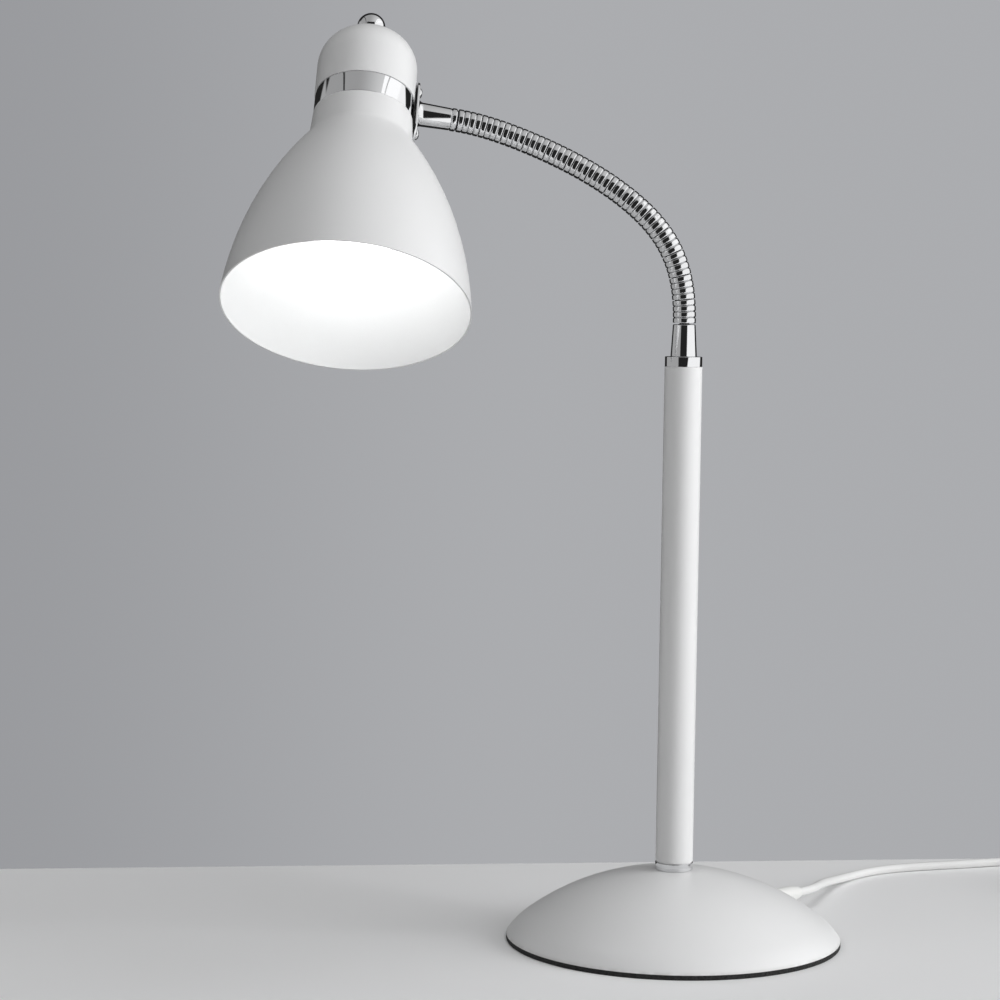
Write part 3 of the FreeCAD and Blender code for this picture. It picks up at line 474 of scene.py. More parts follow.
# %% The cord's route
CORD_RADIUS = 2.5
LEAD_ROUTE = [
    (70.26, 76.68, 11.0), (78.37, 85.53, 11.0), (83.0, 101.0, 10.2), (87.5, 120.0, 7.8),
    (94.0, 142.0, 4.6), (103.0, 161.0, 2.7), (115.0, 177.0, 2.5), (131.0, 189.5, 2.5),
    (152.0, 199.0, 2.5), (176.0, 208.0, 2.5), (196.0, 217.0, 2.5), (211.0, 221.0, 2.6),
    (226.5, 217.5, 4.4), (238.0, 207.0, 6.6), (243.0, 191.5, 8.0), (243.0, 171.0, 8.0),
]
TAIL_ROUTE = [(243.0, 109.0, 8.0), (243.0, 99.5, 8.0), (243.0, 88.5, 4.6), (243.0, 78.0, 3.3)]
END_ROUTE = [(311.0, 78.0, 3.3), (311.0, 89.0, 4.1), (311.0, 100.5, 7.0), (311.0, 112.0, 7.0)]

# %% [markdown]
# The coil's turns fill a bundle of three columns by three rows, all but the middle, and each turn
# moves on to the next place in the bundle over the same stretch, so the turns stay a diameter
# apart. The control points stand slightly outside the turns, because a spline cuts its corners.

# %% The coil's turns
COIL_CENTRE = Vector((277.0, 66.0))
COIL_INNER_TURN = 24.0
COIL_LOWEST_TURN = 3.3
POINTS_A_TURN = 16
TURNS = 7.5
SHIFT_START, SHIFT_LONG = 0.2, 0.3
BUNDLE = [(2, 0), (1, 0), (0, 0), (0, 1), (0, 2), (1, 2), (2, 2), (2, 1), (2, 0)]


def coil_points():
    """Control points of the coil, from its left side round to its right side."""
    outside = 1 / math.cos(math.pi / POINTS_A_TURN)
    places = []
    for step in range(int(TURNS * POINTS_A_TURN) + 1):
        turns = step / POINTS_A_TURN
        past = turns - SHIFT_START
        slot = max(0, math.floor(past))
        share = min(1.0, max(0.0, past - slot) / SHIFT_LONG)
        share = share * share * (3 - 2 * share)
        here, there = (Vector(place) for place in BUNDLE[slot:slot + 2])
        column, row = here.lerp(there, share)
        radius = (COIL_INNER_TURN + column * 2 * CORD_RADIUS) * outside
        angle = math.pi + 2 * math.pi * turns
        centre = COIL_CENTRE + radius * Vector((math.cos(angle), math.sin(angle)))
        places.append((centre.x, centre.y, COIL_LOWEST_TURN + row * 2 * CORD_RADIUS))
    return places


# %% Two lengths of cord
def cord_curve(name, route):
    """A cord as a smooth curve whose control points are its route."""
    curve = bpy.data.curves.new(name, "CURVE")
    curve.dimensions = "3D"
    curve.bevel_depth = CORD_RADIUS * MM
    curve.bevel_resolution = 5
    curve.use_fill_caps = True
    spline = curve.splines.new("NURBS")
    spline.points.add(len(route) - 1)
    for point, place in zip(spline.points, route):
        point.co = (*(Vector(place) * MM), 1.0)
    spline.order_u = 3
    spline.use_endpoint_u = True
    spline.resolution_u = 8
    curve.materials.append(FINISHES["white_pvc"].material)
    cord = bpy.data.objects.new(name, curve)
    scene.collection.objects.link(cord)
    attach(cord, "base")
    return cord


def centre_line(cord):
    """The points that a cord's spline passes through, in millimetres, and their total length."""
    bare = cord.copy()
    bare.data = cord.data.copy()
    bare.data.bevel_depth = 0.0
    scene.collection.objects.link(bare)
    line = bpy.data.meshes.new_from_object(bare.evaluated_get(bpy.context.evaluated_depsgraph_get()))
    places = [point.co / MM for point in line.vertices]
    bpy.data.objects.remove(bare)
    bpy.data.meshes.remove(line)
    return places, sum((b - a).length for a, b in zip(places, places[1:]))


lead = cord_curve("cord_to_switch", LEAD_ROUTE)
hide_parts("cord_lead")
lead_line, lead_length = centre_line(lead)
tail = cord_curve("cord_to_plug", TAIL_ROUTE + coil_points() + END_ROUTE)
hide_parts("cord_tail", "cord_coil", "cord_end")
tail_line, tail_length = centre_line(tail)
print("cord lengths in mm", round(lead_length), round(tail_length))

# %% [markdown]
# ## Where the cord meets something hard
#
# A moulded sleeve stops the cord from kinking there. It follows the cord, thick at the housing
# and thin at its tip, with grooves that let it bend. It is swept along the cord's own line.

# %% Strain reliefs
RELIEF_LONG = 21.0
RELIEF_ROOT, RELIEF_TIP = 4.6, 3.0
RELIEF_GROOVES, RELIEF_GROOVE_DEEP = 5, 0.5
RELIEF_BORE = CORD_RADIUS - 0.3
RING_POINTS = 32


def swept_rings(line, radii_at, length, steps):
    """Rings along the start of a line, with the radius that radii_at gives for a share of it."""
    rings, places = [], []
    travelled, index = 0.0, 0
    for step in range(steps + 1):
        wanted = length * step / steps
        while travelled + (line[index + 1] - line[index]).length < wanted:
            travelled += (line[index + 1] - line[index]).length
            index += 1
        heading = (line[index + 1] - line[index]).normalized()
        centre = line[index] + heading * (wanted - travelled)
        sideways = heading.cross(Vector((0, 0, 1))).normalized()
        upward = sideways.cross(heading)
        for radius in radii_at(step / steps):
            rings.append(range(len(places), len(places) + RING_POINTS))
            for corner in range(RING_POINTS):
                angle = 2 * math.pi * corner / RING_POINTS
                places.append(centre + (sideways * math.cos(angle)
                                        + upward * math.sin(angle)) * radius)
    return places, rings


def strain_relief(name, line):
    """A grooved sleeve along the first part of a line."""
    def radii_at(share):
        outer = RELIEF_ROOT + (RELIEF_TIP - RELIEF_ROOT) * share
        groove = 0.5 - 0.5 * math.cos(2 * math.pi * RELIEF_GROOVES * share)
        if share == 0.0:
            return RELIEF_BORE, outer
        if share == 1.0:
            return outer, RELIEF_BORE
        grooved = 0.1 < share < 0.95
        return (outer - RELIEF_GROOVE_DEEP * groove ** 4 * grooved,)

    places, rings = swept_rings(line, radii_at, RELIEF_LONG, 60)
    return make_piece(name, places, bridged(rings, closed=True), "white_plastic", "base")


reliefs = {
    "switch_inlet_sleeve": strain_relief("switch_inlet_sleeve", lead_line[::-1]),
    "switch_outlet_sleeve": strain_relief("switch_outlet_sleeve", tail_line),
    "plug_sleeve": strain_relief("plug_sleeve", tail_line[::-1]),
}
print("strain reliefs", sorted(reliefs))

# %% [markdown]
# ## The switch and the plug
#
# Both are hand-held mouldings with generous corners. A box with a Bevel modifier would do, but
# here each is built from rounded rectangles stacked into a shell, because that also makes the
# opening for the rocker and the plug's waist.

# %% Stacked rounded rectangles
CORNER_POINTS = 8


def rounded_rectangle(length, width, corner):
    """Points of a rounded rectangle about the origin, anticlockwise."""
    corner = min(corner, length / 2 - 0.01, width / 2 - 0.01)
    places = []
    for quarter in range(4):
        across = 1 if quarter in (0, 3) else -1
        along = 1 if quarter in (0, 1) else -1
        centre = Vector((across * (length / 2 - corner), along * (width / 2 - corner)))
        for step in range(CORNER_POINTS + 1):
            angle = math.radians(90) * (quarter + step / CORNER_POINTS)
            places.append(centre + corner * Vector((math.cos(angle), math.sin(angle))))
    return places


def stacked(layers, closed):
    """Points and faces of layers of (length, width, corner, height)."""
    places, rings = [], []
    for length, width, corner, height in layers:
        ring = rounded_rectangle(length, width, corner)
        rings.append(range(len(places), len(places) + len(ring)))
        places += [(place.x, place.y, height) for place in ring]
    faces = bridged(rings, closed)
    if not closed:
        faces += [list(rings[0])[::-1], list(rings[-1])]
    return places, faces


# %% The switch
SWITCH_LONG, SWITCH_WIDE, SWITCH_TOP, SWITCH_SPLIT = 62.0, 27.0, 17.0, 8.0
SWITCH_MIDDLE = Vector((243.0, 171.0 - SWITCH_LONG / 2, 0.0))
SWITCH_CORNER = 8.0
SWITCH_FRAME = Matrix.Translation(SWITCH_MIDDLE) @ Matrix.Rotation(math.radians(-90), 4, "Z")
WINDOW_LONG, WINDOW_WIDE = 20.4, 12.4


def switch_layers(steps):
    """Layers from (inset, height) pairs."""
    return [(SWITCH_LONG - 2 * inset, SWITCH_WIDE - 2 * inset, SWITCH_CORNER - inset, height)
            for inset, height in steps]


lower = switch_layers([(1.6, 0.0), (0.8, 0.15), (0.2, 0.7), (0.0, 1.6), (0.0, SWITCH_SPLIT - 0.5),
                       (0.4, SWITCH_SPLIT - 0.1)])
switch_bottom = make_piece("switch_bottom", *stacked(lower, False), "white_plastic", "base",
                           ["switch_base"], SWITCH_FRAME)
upper = switch_layers([(0.4, SWITCH_SPLIT), (0.0, SWITCH_SPLIT + 0.4), (0.0, SWITCH_TOP - 4.0),
                       (0.5, SWITCH_TOP - 2.0), (1.7, SWITCH_TOP - 0.7), (3.6, SWITCH_TOP - 0.12),
                       (5.0, SWITCH_TOP)])
upper += [(WINDOW_LONG + 1.0, WINDOW_WIDE + 1.0, 1.6, SWITCH_TOP),
          (WINDOW_LONG, WINDOW_WIDE, 1.2, SWITCH_TOP - 0.6),
          (WINDOW_LONG, WINDOW_WIDE, 1.2, SWITCH_SPLIT)]
switch_top = make_piece("switch_top", *stacked(upper, True), "white_plastic", "base",
                        ["switch_cover"], SWITCH_FRAME)

# %% The rocker
ROCKER_LONG, ROCKER_WIDE, ROCKER_PIVOT = 19.0, 11.0, 13.0
ROCKER_TILT = math.radians(7.0)
ROCKER_FRAME = (SWITCH_FRAME @ Matrix.Translation((0, 0, ROCKER_PIVOT))
                @ Matrix.Rotation(ROCKER_TILT, 4, "Y"))
ROCKER_EDGE, ROCKER_DISH = 5.6, 1.15


def rocker_mesh():
    """The rocker: a dished top with a soft edge, and sides that go down into the window."""
    places, rings = [], []
    for inset, drop in ((0.0, 8.0), (0.0, 0.9), (0.25, 0.3), (0.9, 0.0)):
        ring = rounded_rectangle(ROCKER_LONG - 2 * inset, ROCKER_WIDE - 2 * inset, 1.0)
        rings.append(range(len(places), len(places) + len(ring)))
        for place in ring:
            dish = ROCKER_DISH * (1 - (2 * place.x / ROCKER_LONG) ** 2) if drop < 1.0 else 0.0
            places.append((place.x, place.y, ROCKER_EDGE - dish - drop))
    top = list(rings[-1])
    faces = bridged(rings, closed=False) + [list(rings[0])[::-1]]
    return places, faces, top


def fill_dish(piece, top):
    """Fills the rocker's dished top with strips across it."""
    work = bmesh.new()
    work.from_mesh(piece)
    work.verts.ensure_lookup_table()
    loop = [work.verts[index] for index in top]
    half = len(loop) // 2
    for step in range(half - 1):
        first, second = loop[step], loop[step + 1]
        third, fourth = loop[-step - 2], loop[-step - 1]
        corners = list(dict.fromkeys((first, second, third, fourth)))
        if len(corners) > 2:
            work.faces.new(corners)
    work.to_mesh(piece)
    work.free()


rocker_places, rocker_faces, rocker_top = rocker_mesh()
rocker_blank = bpy.data.meshes.new("rocker_blank")
rocker_blank.from_pydata([(ROCKER_FRAME @ Vector(place)) * MM for place in rocker_places], [],
                         rocker_faces)
fill_dish(rocker_blank, rocker_top)
rocker = bpy.data.objects.new("rocker_key", rocker_blank)
scene.collection.objects.link(rocker)
settle(rocker, "white_plastic", "rocker", ["switch_rocker"])

# %% The plug
PLUG_LONG, PLUG_WIDE, PLUG_HIGH = 36.0, 26.0, 14.0
PLUG_FRAME = Matrix.Translation((311.0, 112.0, 0.0)) @ Matrix.Rotation(math.radians(90), 4, "Z")
PIN_RADIUS, PIN_LONG, PIN_APART = 2.0, 19.0, 18.6
PLUG_SECTIONS = [
    (0.0, 9.6, 9.6), (0.4, 10.2, 10.2), (9.0, 12.0, 11.2), (12.5, 16.0, 12.4), (15.0, 22.0, 13.4),
    (17.5, 25.2, 13.9), (19.0, 26.0, 14.0),
]
GRIP_FIRST, GRIP_PITCH, GRIP_COUNT, GRIP_DEEP = 20.2, 2.9, 4, 0.55


def plug_sections():
    """(along, width, height) of the plug's sections, with its finger grooves."""
    sections = list(PLUG_SECTIONS)
    for step in range(GRIP_COUNT):
        start = GRIP_FIRST + step * GRIP_PITCH
        for along, deep in ((0.0, 0.0), (0.45, 0.8), (0.9, 1.0), (1.35, 0.8), (1.8, 0.0)):
            dip = 2 * GRIP_DEEP * deep
            sections.append((start + along, PLUG_WIDE - dip, PLUG_HIGH - dip))
    sections += [(PLUG_LONG - 1.6, PLUG_WIDE, PLUG_HIGH), (PLUG_LONG - 0.4, PLUG_WIDE - 0.8,
                  PLUG_HIGH - 0.8), (PLUG_LONG, PLUG_WIDE - 2.4, PLUG_HIGH - 2.4)]
    return sections


layers = [(height, width, min(width, height) * 0.36, along)
          for along, width, height in plug_sections()]
upright_places, plug_faces = stacked(layers, False)
plug_places = [(z, y, PLUG_HIGH / 2 - x) for x, y, z in upright_places]
plug = make_piece("plug_moulding", plug_places, plug_faces, "white_plastic", "base",
                  ["plug_body"], PLUG_FRAME)

# %% The plug's pins
PIN_SLEEVE = 10.0


def pin(name, side, points, finish, stands_for=()):
    """A pin lying along the plug's X axis."""
    lying = (PLUG_FRAME @ Matrix.Translation((PLUG_LONG, side * PIN_APART / 2, PLUG_HIGH / 2))
             @ Matrix.Rotation(math.radians(90), 4, "Y"))
    return turn_piece(name, points, finish, "base", stands_for, lying, 32)


metal_pin = [(0.0, 0.0), (1.88, 0.0), (1.88, PIN_SLEEVE), (PIN_RADIUS, PIN_SLEEVE + 0.3),
             (PIN_RADIUS, PIN_LONG, 1.1), (0.0, PIN_LONG)]
sleeve = [(1.7, 0.0), (PIN_RADIUS, 0.0), (PIN_RADIUS, PIN_SLEEVE, 0.2), (1.7, PIN_SLEEVE)]
pins = [pin("plug_pin_a", -1, metal_pin, "chrome", ["plug_pins"]),
        pin("plug_pin_b", 1, metal_pin, "chrome", ["plug_pins"]),
        pin("pin_sleeve_a", -1, sleeve, "white_plastic"),
        pin("pin_sleeve_b", 1, sleeve, "white_plastic")]

# %% [markdown]
# The coil is held by a soft strap that goes once round the bundle. It is a flat band with rounded
# corners, cut as one closed ribbon.

# %% The strap round the coil
STRAP_WIDE, STRAP_THICK = 5.0, 0.7
BUNDLE_LOW, BUNDLE_HIGH = 0.8, 15.8
BUNDLE_INNER, BUNDLE_OUTER = 21.3, 36.7


def strap_mesh():
    """A ribbon round the bundle's section, seen along the turns at the coil's left side."""
    middle = (BUNDLE_INNER + BUNDLE_OUTER) / 2
    wide = BUNDLE_OUTER - BUNDLE_INNER
    high = BUNDLE_HIGH - BUNDLE_LOW
    places, rings = [], []
    for grow, half in ((0.0, -1), (STRAP_THICK, -1), (STRAP_THICK, 1), (0.0, 1)):
        ring = rounded_rectangle(wide + 2 * grow, high + 2 * grow, 2.2 + grow)
        rings.append(range(len(places), len(places) + len(ring)))
        places += [(-middle + place.x, half * STRAP_WIDE / 2,
                    (BUNDLE_LOW + BUNDLE_HIGH) / 2 + place.y) for place in ring]
    return places, bridged(rings, closed=True)


coil_frame = Matrix.Translation((COIL_CENTRE.x, COIL_CENTRE.y, 0.0))
strap = make_piece("coil_strap", *strap_mesh(), "tie_black", "base", ["coil_tie"], coil_frame)

# %% [markdown]
# ## The base
#
# The dome is one sheet of steel, spun over a former and cut off square at its rim, where a black
# foam pad shows as a thin dark line. The dome's outline is two arcs: a flat one for the crown and
# a tighter one that runs down to the rim.

# %% Dome and pad
BASE_RADIUS, DOME_BOTTOM = 89.7, 2.6
DOME_CURVE, DOME_DROP, DOME_LAND, DOME_SHOULDER, RIM_CURVE = 134.0, 95.1, 9.6, 80.0, 40.0
SHEET = 1.0
ROD_HOLE = 5.06


def dome_height(radius, curve=DOME_CURVE):
    """The height of the dome at this distance from the pole."""
    return math.sqrt(curve * curve - radius * radius) - DOME_DROP


inner_shoulder = DOME_SHOULDER - SHEET * 0.6
inner_curve = DOME_CURVE - SHEET
turn_piece("base_dome", [
    (ROD_HOLE, dome_height(DOME_LAND, inner_curve)),
    (ROD_HOLE, dome_height(DOME_LAND)),
    (DOME_LAND, dome_height(DOME_LAND)),
    (DOME_SHOULDER, dome_height(DOME_SHOULDER), DOME_CURVE, 1),
    (BASE_RADIUS, DOME_BOTTOM, RIM_CURVE, 1),
    (BASE_RADIUS - SHEET, DOME_BOTTOM),
    (inner_shoulder, dome_height(inner_shoulder, inner_curve), RIM_CURVE - SHEET, -1),
    (DOME_LAND, dome_height(DOME_LAND, inner_curve), inner_curve, -1),
], "white_enamel", "base", ["base_shell"], steps=224)
PAD_RADIUS, PAD_HIGH = 89.8, 2.5
turn_piece("foam_pad", [(0, 0), (PAD_RADIUS, 0, 0.5), (PAD_RADIUS, PAD_HIGH, 0.4), (0, PAD_HIGH)],
           "foam", "base", ["base_pad"], steps=224)
print("dome is", round(dome_height(DOME_LAND), 1), "mm high at the pole")

# %% [markdown]
# The sleeve at the back of the base is a tapered moulding through a hole in the dome.

# %% Sleeve at the base
GLAND_ROOT, GLAND_REACH, GLAND_HIGH = 65.5, 104.0, 11.0
GLAND_RADIUS, GLAND_TIP, GLAND_BORE, GLAND_FLANGE = 4.6, 3.6, 2.6, 6.2
GLAND_FLANGE_END = GLAND_ROOT + 2.0
GLAND_ANGLE = math.radians(47.5)
GLAND_FRAME = (Matrix.Translation((0, 0, GLAND_HIGH)) @ Matrix.Rotation(GLAND_ANGLE, 4, "Z")
               @ Matrix.Rotation(math.radians(90), 4, "Y"))
turn_piece("base_sleeve", [
    (GLAND_BORE, GLAND_ROOT), (GLAND_FLANGE, GLAND_ROOT, 0.4),
    (GLAND_FLANGE, GLAND_FLANGE_END, 0.4), (GLAND_RADIUS, GLAND_FLANGE_END),
    (GLAND_RADIUS, GLAND_REACH - 9.0, 1.0), (GLAND_TIP, GLAND_REACH - 1.0, 0.8),
    (GLAND_BORE + 0.3, GLAND_REACH, 0.2), (GLAND_BORE, GLAND_REACH),
], "white_plastic", "base", ["cord_gland"], GLAND_FRAME, 64)

# %% [markdown]
# ## Pole, rings and the lower ferrule
#
# The pole is a plain enamelled tube between two chrome rings. The rings' edges are broken by a
# small radius, which is what catches the light as a thin bright line. A narrow gap above the foot
# ring gives its dark upper line. The ferrule on top tapers and ends in the neck's first ball.

# %% Pole and its metalwork
POLE_RADIUS, POLE_BORE, POLE_TOP, RING_TOP = 10.0, 9.0, 308.4, 313.7
FOOT_RING, TOP_RING = 10.1, 9.9
SEAM = 0.02
SHADOW_GAP, GAP_RADIUS = 0.5, 9.3
FOOT = dome_height(DOME_LAND) + 0.03
FOOT_TOP = FOOT + 4.0
NECK_START = 332.6
BALL_RADIUS, BALL_NECK = 4.9, 4.5
FERRULE_FOOT, FERRULE_TIP = 7.0, 6.0
turn_piece("pole_foot_collar", [
    (ROD_HOLE, FOOT), (FOOT_RING, FOOT, 0.35), (FOOT_RING, FOOT_TOP, 0.2), (ROD_HOLE, FOOT_TOP),
], "chrome", "base", ["pole_foot_ring"])
turn_piece("pole_shaft", [
    (POLE_BORE, FOOT_TOP + SEAM), (GAP_RADIUS, FOOT_TOP + SEAM),
    (GAP_RADIUS, FOOT_TOP + SHADOW_GAP), (POLE_RADIUS, FOOT_TOP + SHADOW_GAP + 0.05, 0.2),
    (POLE_RADIUS, POLE_TOP, 0.2), (POLE_BORE, POLE_TOP),
], "white_enamel", "base", ["pole_tube"])
turn_piece("pole_top_collar", [
    (ROD_HOLE, POLE_TOP + SEAM), (TOP_RING, POLE_TOP + SEAM, 0.15),
    (TOP_RING, RING_TOP, 0.25), (ROD_HOLE, RING_TOP),
], "chrome", "base", ["pole_top_ring"])
FERRULE_TOP = NECK_START - 1.9
turn_piece("neck_foot", [
    (0, RING_TOP + SEAM), (FERRULE_FOOT, RING_TOP + SEAM, 0.4), (FERRULE_TIP, FERRULE_TOP, 0.5),
    (BALL_NECK, FERRULE_TOP), (0, NECK_START + BALL_RADIUS, BALL_RADIUS, 1),
], "chrome", "base", ["lower_ferrule"])

# %% [markdown]
# ## The gooseneck
#
# The real hose is a wound metal strip that looks like a row of ribs. Here fourteen links carry
# it, each a short piece of a bend with four ribs. All links follow one rule, so Geometry Nodes
# make them: a grid is rolled into a tube, its radius follows the ribs, and the tube is laid on
# the link's arc. The number of degrees that each link turns comes from the lamp's pose.

# %% The neck's line
LINK_PITCH = 12.55
LINK_BEND = [5.95, 9.4, 10.8, 11.7, 8.9, 5.8, 4.6, 3.7, 3.2, 2.5, 2.4, 2.9, 4.4, 5.65]
LINK_SIDE = [0.0] * 10 + [3.05] * 4


def neck_heading(bend, side):
    """The neck's direction after these turns, from straight up."""
    bend, side = math.radians(90 + bend), math.radians(side)
    return Vector((math.cos(side) * math.cos(bend), -math.sin(side),
                   math.cos(side) * math.sin(bend)))


def axes_at(place, across, upward):
    """A frame from its place, its X direction and its Z direction."""
    turn = Matrix((across, upward.cross(across), upward)).transposed()
    return Matrix.Translation(place) @ turn.to_4x4()


def neck_frames():
    """Each link's frame and how far it turns, then the neck's end and its last direction."""
    place, bend, side = Vector((0, 0, NECK_START)), 0.0, 0.0
    heading = neck_heading(bend, side)
    frames = []
    for more_bend, more_side in zip(LINK_BEND, LINK_SIDE):
        bend += more_bend
        side += more_side
        following = neck_heading(bend, side)
        turn = heading.angle(following)
        inward = (following - heading * heading.dot(following)).normalized()
        frames.append((axes_at(place, inward, heading), turn))
        curve = LINK_PITCH / turn
        place = place + heading * curve * math.sin(turn) + inward * curve * (1 - math.cos(turn))
        heading = following
    return frames, place, heading


links, neck_end, last_heading = neck_frames()
print("neck ends at", [round(x, 1) for x in neck_end])

# %% A Geometry Nodes tree for one link
COLUMNS, ROUND = 64, 56
INPUTS = {
    "Turn": 0.1, "Pitch": LINK_PITCH * MM, "Start": -1.05 * MM, "End": 10.93 * MM,
    "First groove": -1.35 * MM, "Rib pitch": LINK_PITCH / 4 * MM, "Crest radius": 6.1 * MM,
    "Groove depth": 0.8 * MM, "Ball radius": BALL_RADIUS * MM,
}


def link_tree():
    """The tree that makes one ribbed link with the ball at its end."""
    tree = bpy.data.node_groups.new("ribbed link", "GeometryNodeTree")
    board = Board(tree)
    for name in INPUTS:
        tree.interface.new_socket(name, in_out="INPUT", socket_type="NodeSocketFloat")
    tree.interface.new_socket("Finish", in_out="INPUT", socket_type="NodeSocketMaterial")
    tree.interface.new_socket("Geometry", in_out="OUTPUT", socket_type="NodeSocketGeometry")
    given = tree.nodes.new("NodeGroupInput")
    size = {name: Wire(board, given.outputs[name]) for name in (*INPUTS, "Finish")}

    grid = board.node("GeometryNodeMeshGrid", None, {
        "Size X": 1.0, "Size Y": 1.0, "Vertices X": COLUMNS, "Vertices Y": ROUND + 1})
    spot = board.node("GeometryNodeInputPosition")
    parts = tree.nodes.new("ShaderNodeSeparateXYZ")
    board.feed(parts.inputs[0], spot)
    column = (Wire(board, parts.outputs[0]) + 0.5) * (COLUMNS - 1)
    angle = (Wire(board, parts.outputs[1]) + 0.5) * (2 * math.pi)

    share = board.node("ShaderNodeClamp", None, {"Value": (column - 1.0) / (COLUMNS - 3)})
    along = size["Start"] + share * (size["End"] - size["Start"])
    rib = ((along - size["First groove"]) / size["Rib pitch"]).fraction()
    crest_share = 1.0 - (rib * 2.0 - 1.0).size() ** 7.0
    closed_end = board.node("ShaderNodeClamp", None, {"Value": column})
    closed_start = board.node("ShaderNodeClamp", None, {"Value": (COLUMNS - 1.0) - column})
    radius = size["Crest radius"] - size["Groove depth"] * (1.0 - crest_share)
    radius = radius * closed_end * closed_start

    curve = size["Pitch"] / size["Turn"]
    bend = along / curve
    out = curve - radius * angle.math("COSINE", angle)
    laid = board.node("ShaderNodeCombineXYZ", None, {
        0: curve - out * bend.math("COSINE", bend),
        1: radius * angle.math("SINE", angle),
        2: out * bend.math("SINE", bend)})
    named = board.node("GeometryNodeStoreNamedAttribute",
                       {"data_type": "FLOAT", "domain": "POINT"},
                       {"Geometry": grid, "Name": "crest", "Value": crest_share})
    tube = board.node("GeometryNodeSetPosition", None, {"Geometry": named, "Position": laid})
    sewn = board.node("GeometryNodeMergeByDistance", None, {"Geometry": tube, "Distance": 1e-6})

    ball = board.node("GeometryNodeMeshUVSphere", None, {
        "Segments": 32, "Rings": 20, "Radius": size["Ball radius"]})
    turn = size["Turn"]
    pivot = board.node("ShaderNodeCombineXYZ", None, {
        0: curve * (1.0 - turn.math("COSINE", turn)), 2: curve * turn.math("SINE", turn)})
    moved = board.node("GeometryNodeTransform", None, {"Geometry": ball, "Translation": pivot})
    both = tree.nodes.new("GeometryNodeJoinGeometry")
    for geometry in (sewn, moved):
        tree.links.new(geometry.socket, both.inputs[0])
    real = board.node("GeometryNodeRealizeInstances", None,
                      {"Geometry": Wire(board, both.outputs[0])})
    done = board.node("GeometryNodeSetMaterial", None,
                      {"Geometry": real, "Material": size["Finish"]})
    result = tree.nodes.new("NodeGroupOutput")
    tree.links.new(done.socket, result.inputs[0])
    return tree


def baked(name, tree, values, start=None):
    """The plain mesh that a Geometry Nodes tree makes from these named inputs."""
    maker = bpy.data.objects.new(name, start or bpy.data.meshes.new(name + "_start"))
    scene.collection.objects.link(maker)
    modifier = maker.modifiers.new("make", "NODES")
    modifier.node_group = tree
    sockets = {item.name: item.identifier for item in tree.interface.items_tree
               if item.in_out == "INPUT"}
    for key, value in values.items():
        modifier[sockets[key]] = value
    bpy.context.view_layer.update()
    made = bpy.data.meshes.new_from_object(
        maker.evaluated_get(bpy.context.evaluated_depsgraph_get()))
    maker.modifiers.clear()
    bpy.data.objects.remove(maker)
    return made


# %% Fourteen links
LINK_TREE = link_tree()
for number, (link_frame, turn) in enumerate(links, start=1):
    values = dict(INPUTS, Turn=turn, Finish=FINISHES["hose_chrome"].material)
    mesh = baked("link_%02d" % number, LINK_TREE, values)
    in_metres = link_frame.copy()
    in_metres.translation = link_frame.translation * MM
    mesh.transform(in_metres)
    rib_link = bpy.data.objects.new("neck_ribs_%02d" % number, mesh)
    scene.collection.objects.link(rib_link)
    settle(rib_link, "hose_chrome", "neck_%02d" % number, ["gooseneck_link_%02d" % number])
print("faces in one link", len(mesh.polygons))

# %% [markdown]
# ## The head
#
# Everything in the head shares one frame: its X runs back along the ferrule to the neck, and its
# Z runs up the cap's axis to the ball. The pieces are then as simple as on the bench.

# %% The head's frame
PLATE_OFFSET, FERRULE_LONG, HEAD_LEAN = 26.8, 21.6, math.radians(30.3)
head_centre = neck_end + last_heading * (PLATE_OFFSET + FERRULE_LONG)
upright = (Vector((0, 0, 1)) - last_heading * last_heading.z).normalized()
head_up = Quaternion(last_heading, HEAD_LEAN) @ upright
HEAD = axes_at(head_centre, -last_heading, head_up)
BACK = Matrix.Rotation(math.radians(90), 4, "Y")
print("head at", [round(x, 1) for x in head_centre])

# %% [markdown]
# The ferrule at the head is turned like the one at the pole, with a flare where it meets the
# plate. It starts one rib further on than the last link, so that rib is turned here and rides on
# the head. The plate is a flat strip of chrome with round ends.

# %% Upper ferrule and plate
PLATE_HALF_LONG, PLATE_HALF_WIDE, PLATE_THICK = 18.0, 8.0, 1.2
FLARE_FACE = FERRULE_LONG - PLATE_THICK - SEAM
FLARE_RADIUS, FLARE_CURVE, FLARE_LONG = 7.9, 3.7, 3.4
FERRULE_START, HEAD_FERRULE_TIP, HEAD_FERRULE_WIDE = 2.35, 5.85, 6.3
ferrule_frame = axes_at(neck_end, HEAD.to_3x3() @ Vector((0, 1, 0)), last_heading)
turn_piece("head_ferrule", [
    (0, FERRULE_START), (HEAD_FERRULE_TIP, FERRULE_START, 0.4),
    (HEAD_FERRULE_WIDE, FLARE_FACE - FLARE_LONG), (FLARE_RADIUS, FLARE_FACE, FLARE_CURVE, 1),
    (0, FLARE_FACE),
], "chrome", "head", ["upper_ferrule"], ferrule_frame)
RIB_START, RIB_CREST, RIB_GROOVE = -0.9, 6.1, 5.3
last_rib = turn_piece("last_rib", [
    (0, RIB_START), (RIB_GROOVE + 0.2, RIB_START), (RIB_CREST, RIB_START + 0.6, 0.3),
    (RIB_CREST, FERRULE_START - 0.7, 0.3), (RIB_GROOVE, FERRULE_START), (0, FERRULE_START),
], "hose_chrome", "head", (), ferrule_frame)
crests = last_rib.data.attributes.new("crest", "FLOAT", "POINT")
for value in crests.data:
    value.value = 1.0
plate_layers = [(2 * PLATE_HALF_LONG - 2 * inset, 2 * PLATE_HALF_WIDE - 2 * inset,
                 PLATE_HALF_WIDE - inset, height)
                for inset, height in ((0.0, 0.0), (0.0, PLATE_THICK - 0.35),
                                      (0.1, PLATE_THICK - 0.12), (0.4, PLATE_THICK))]
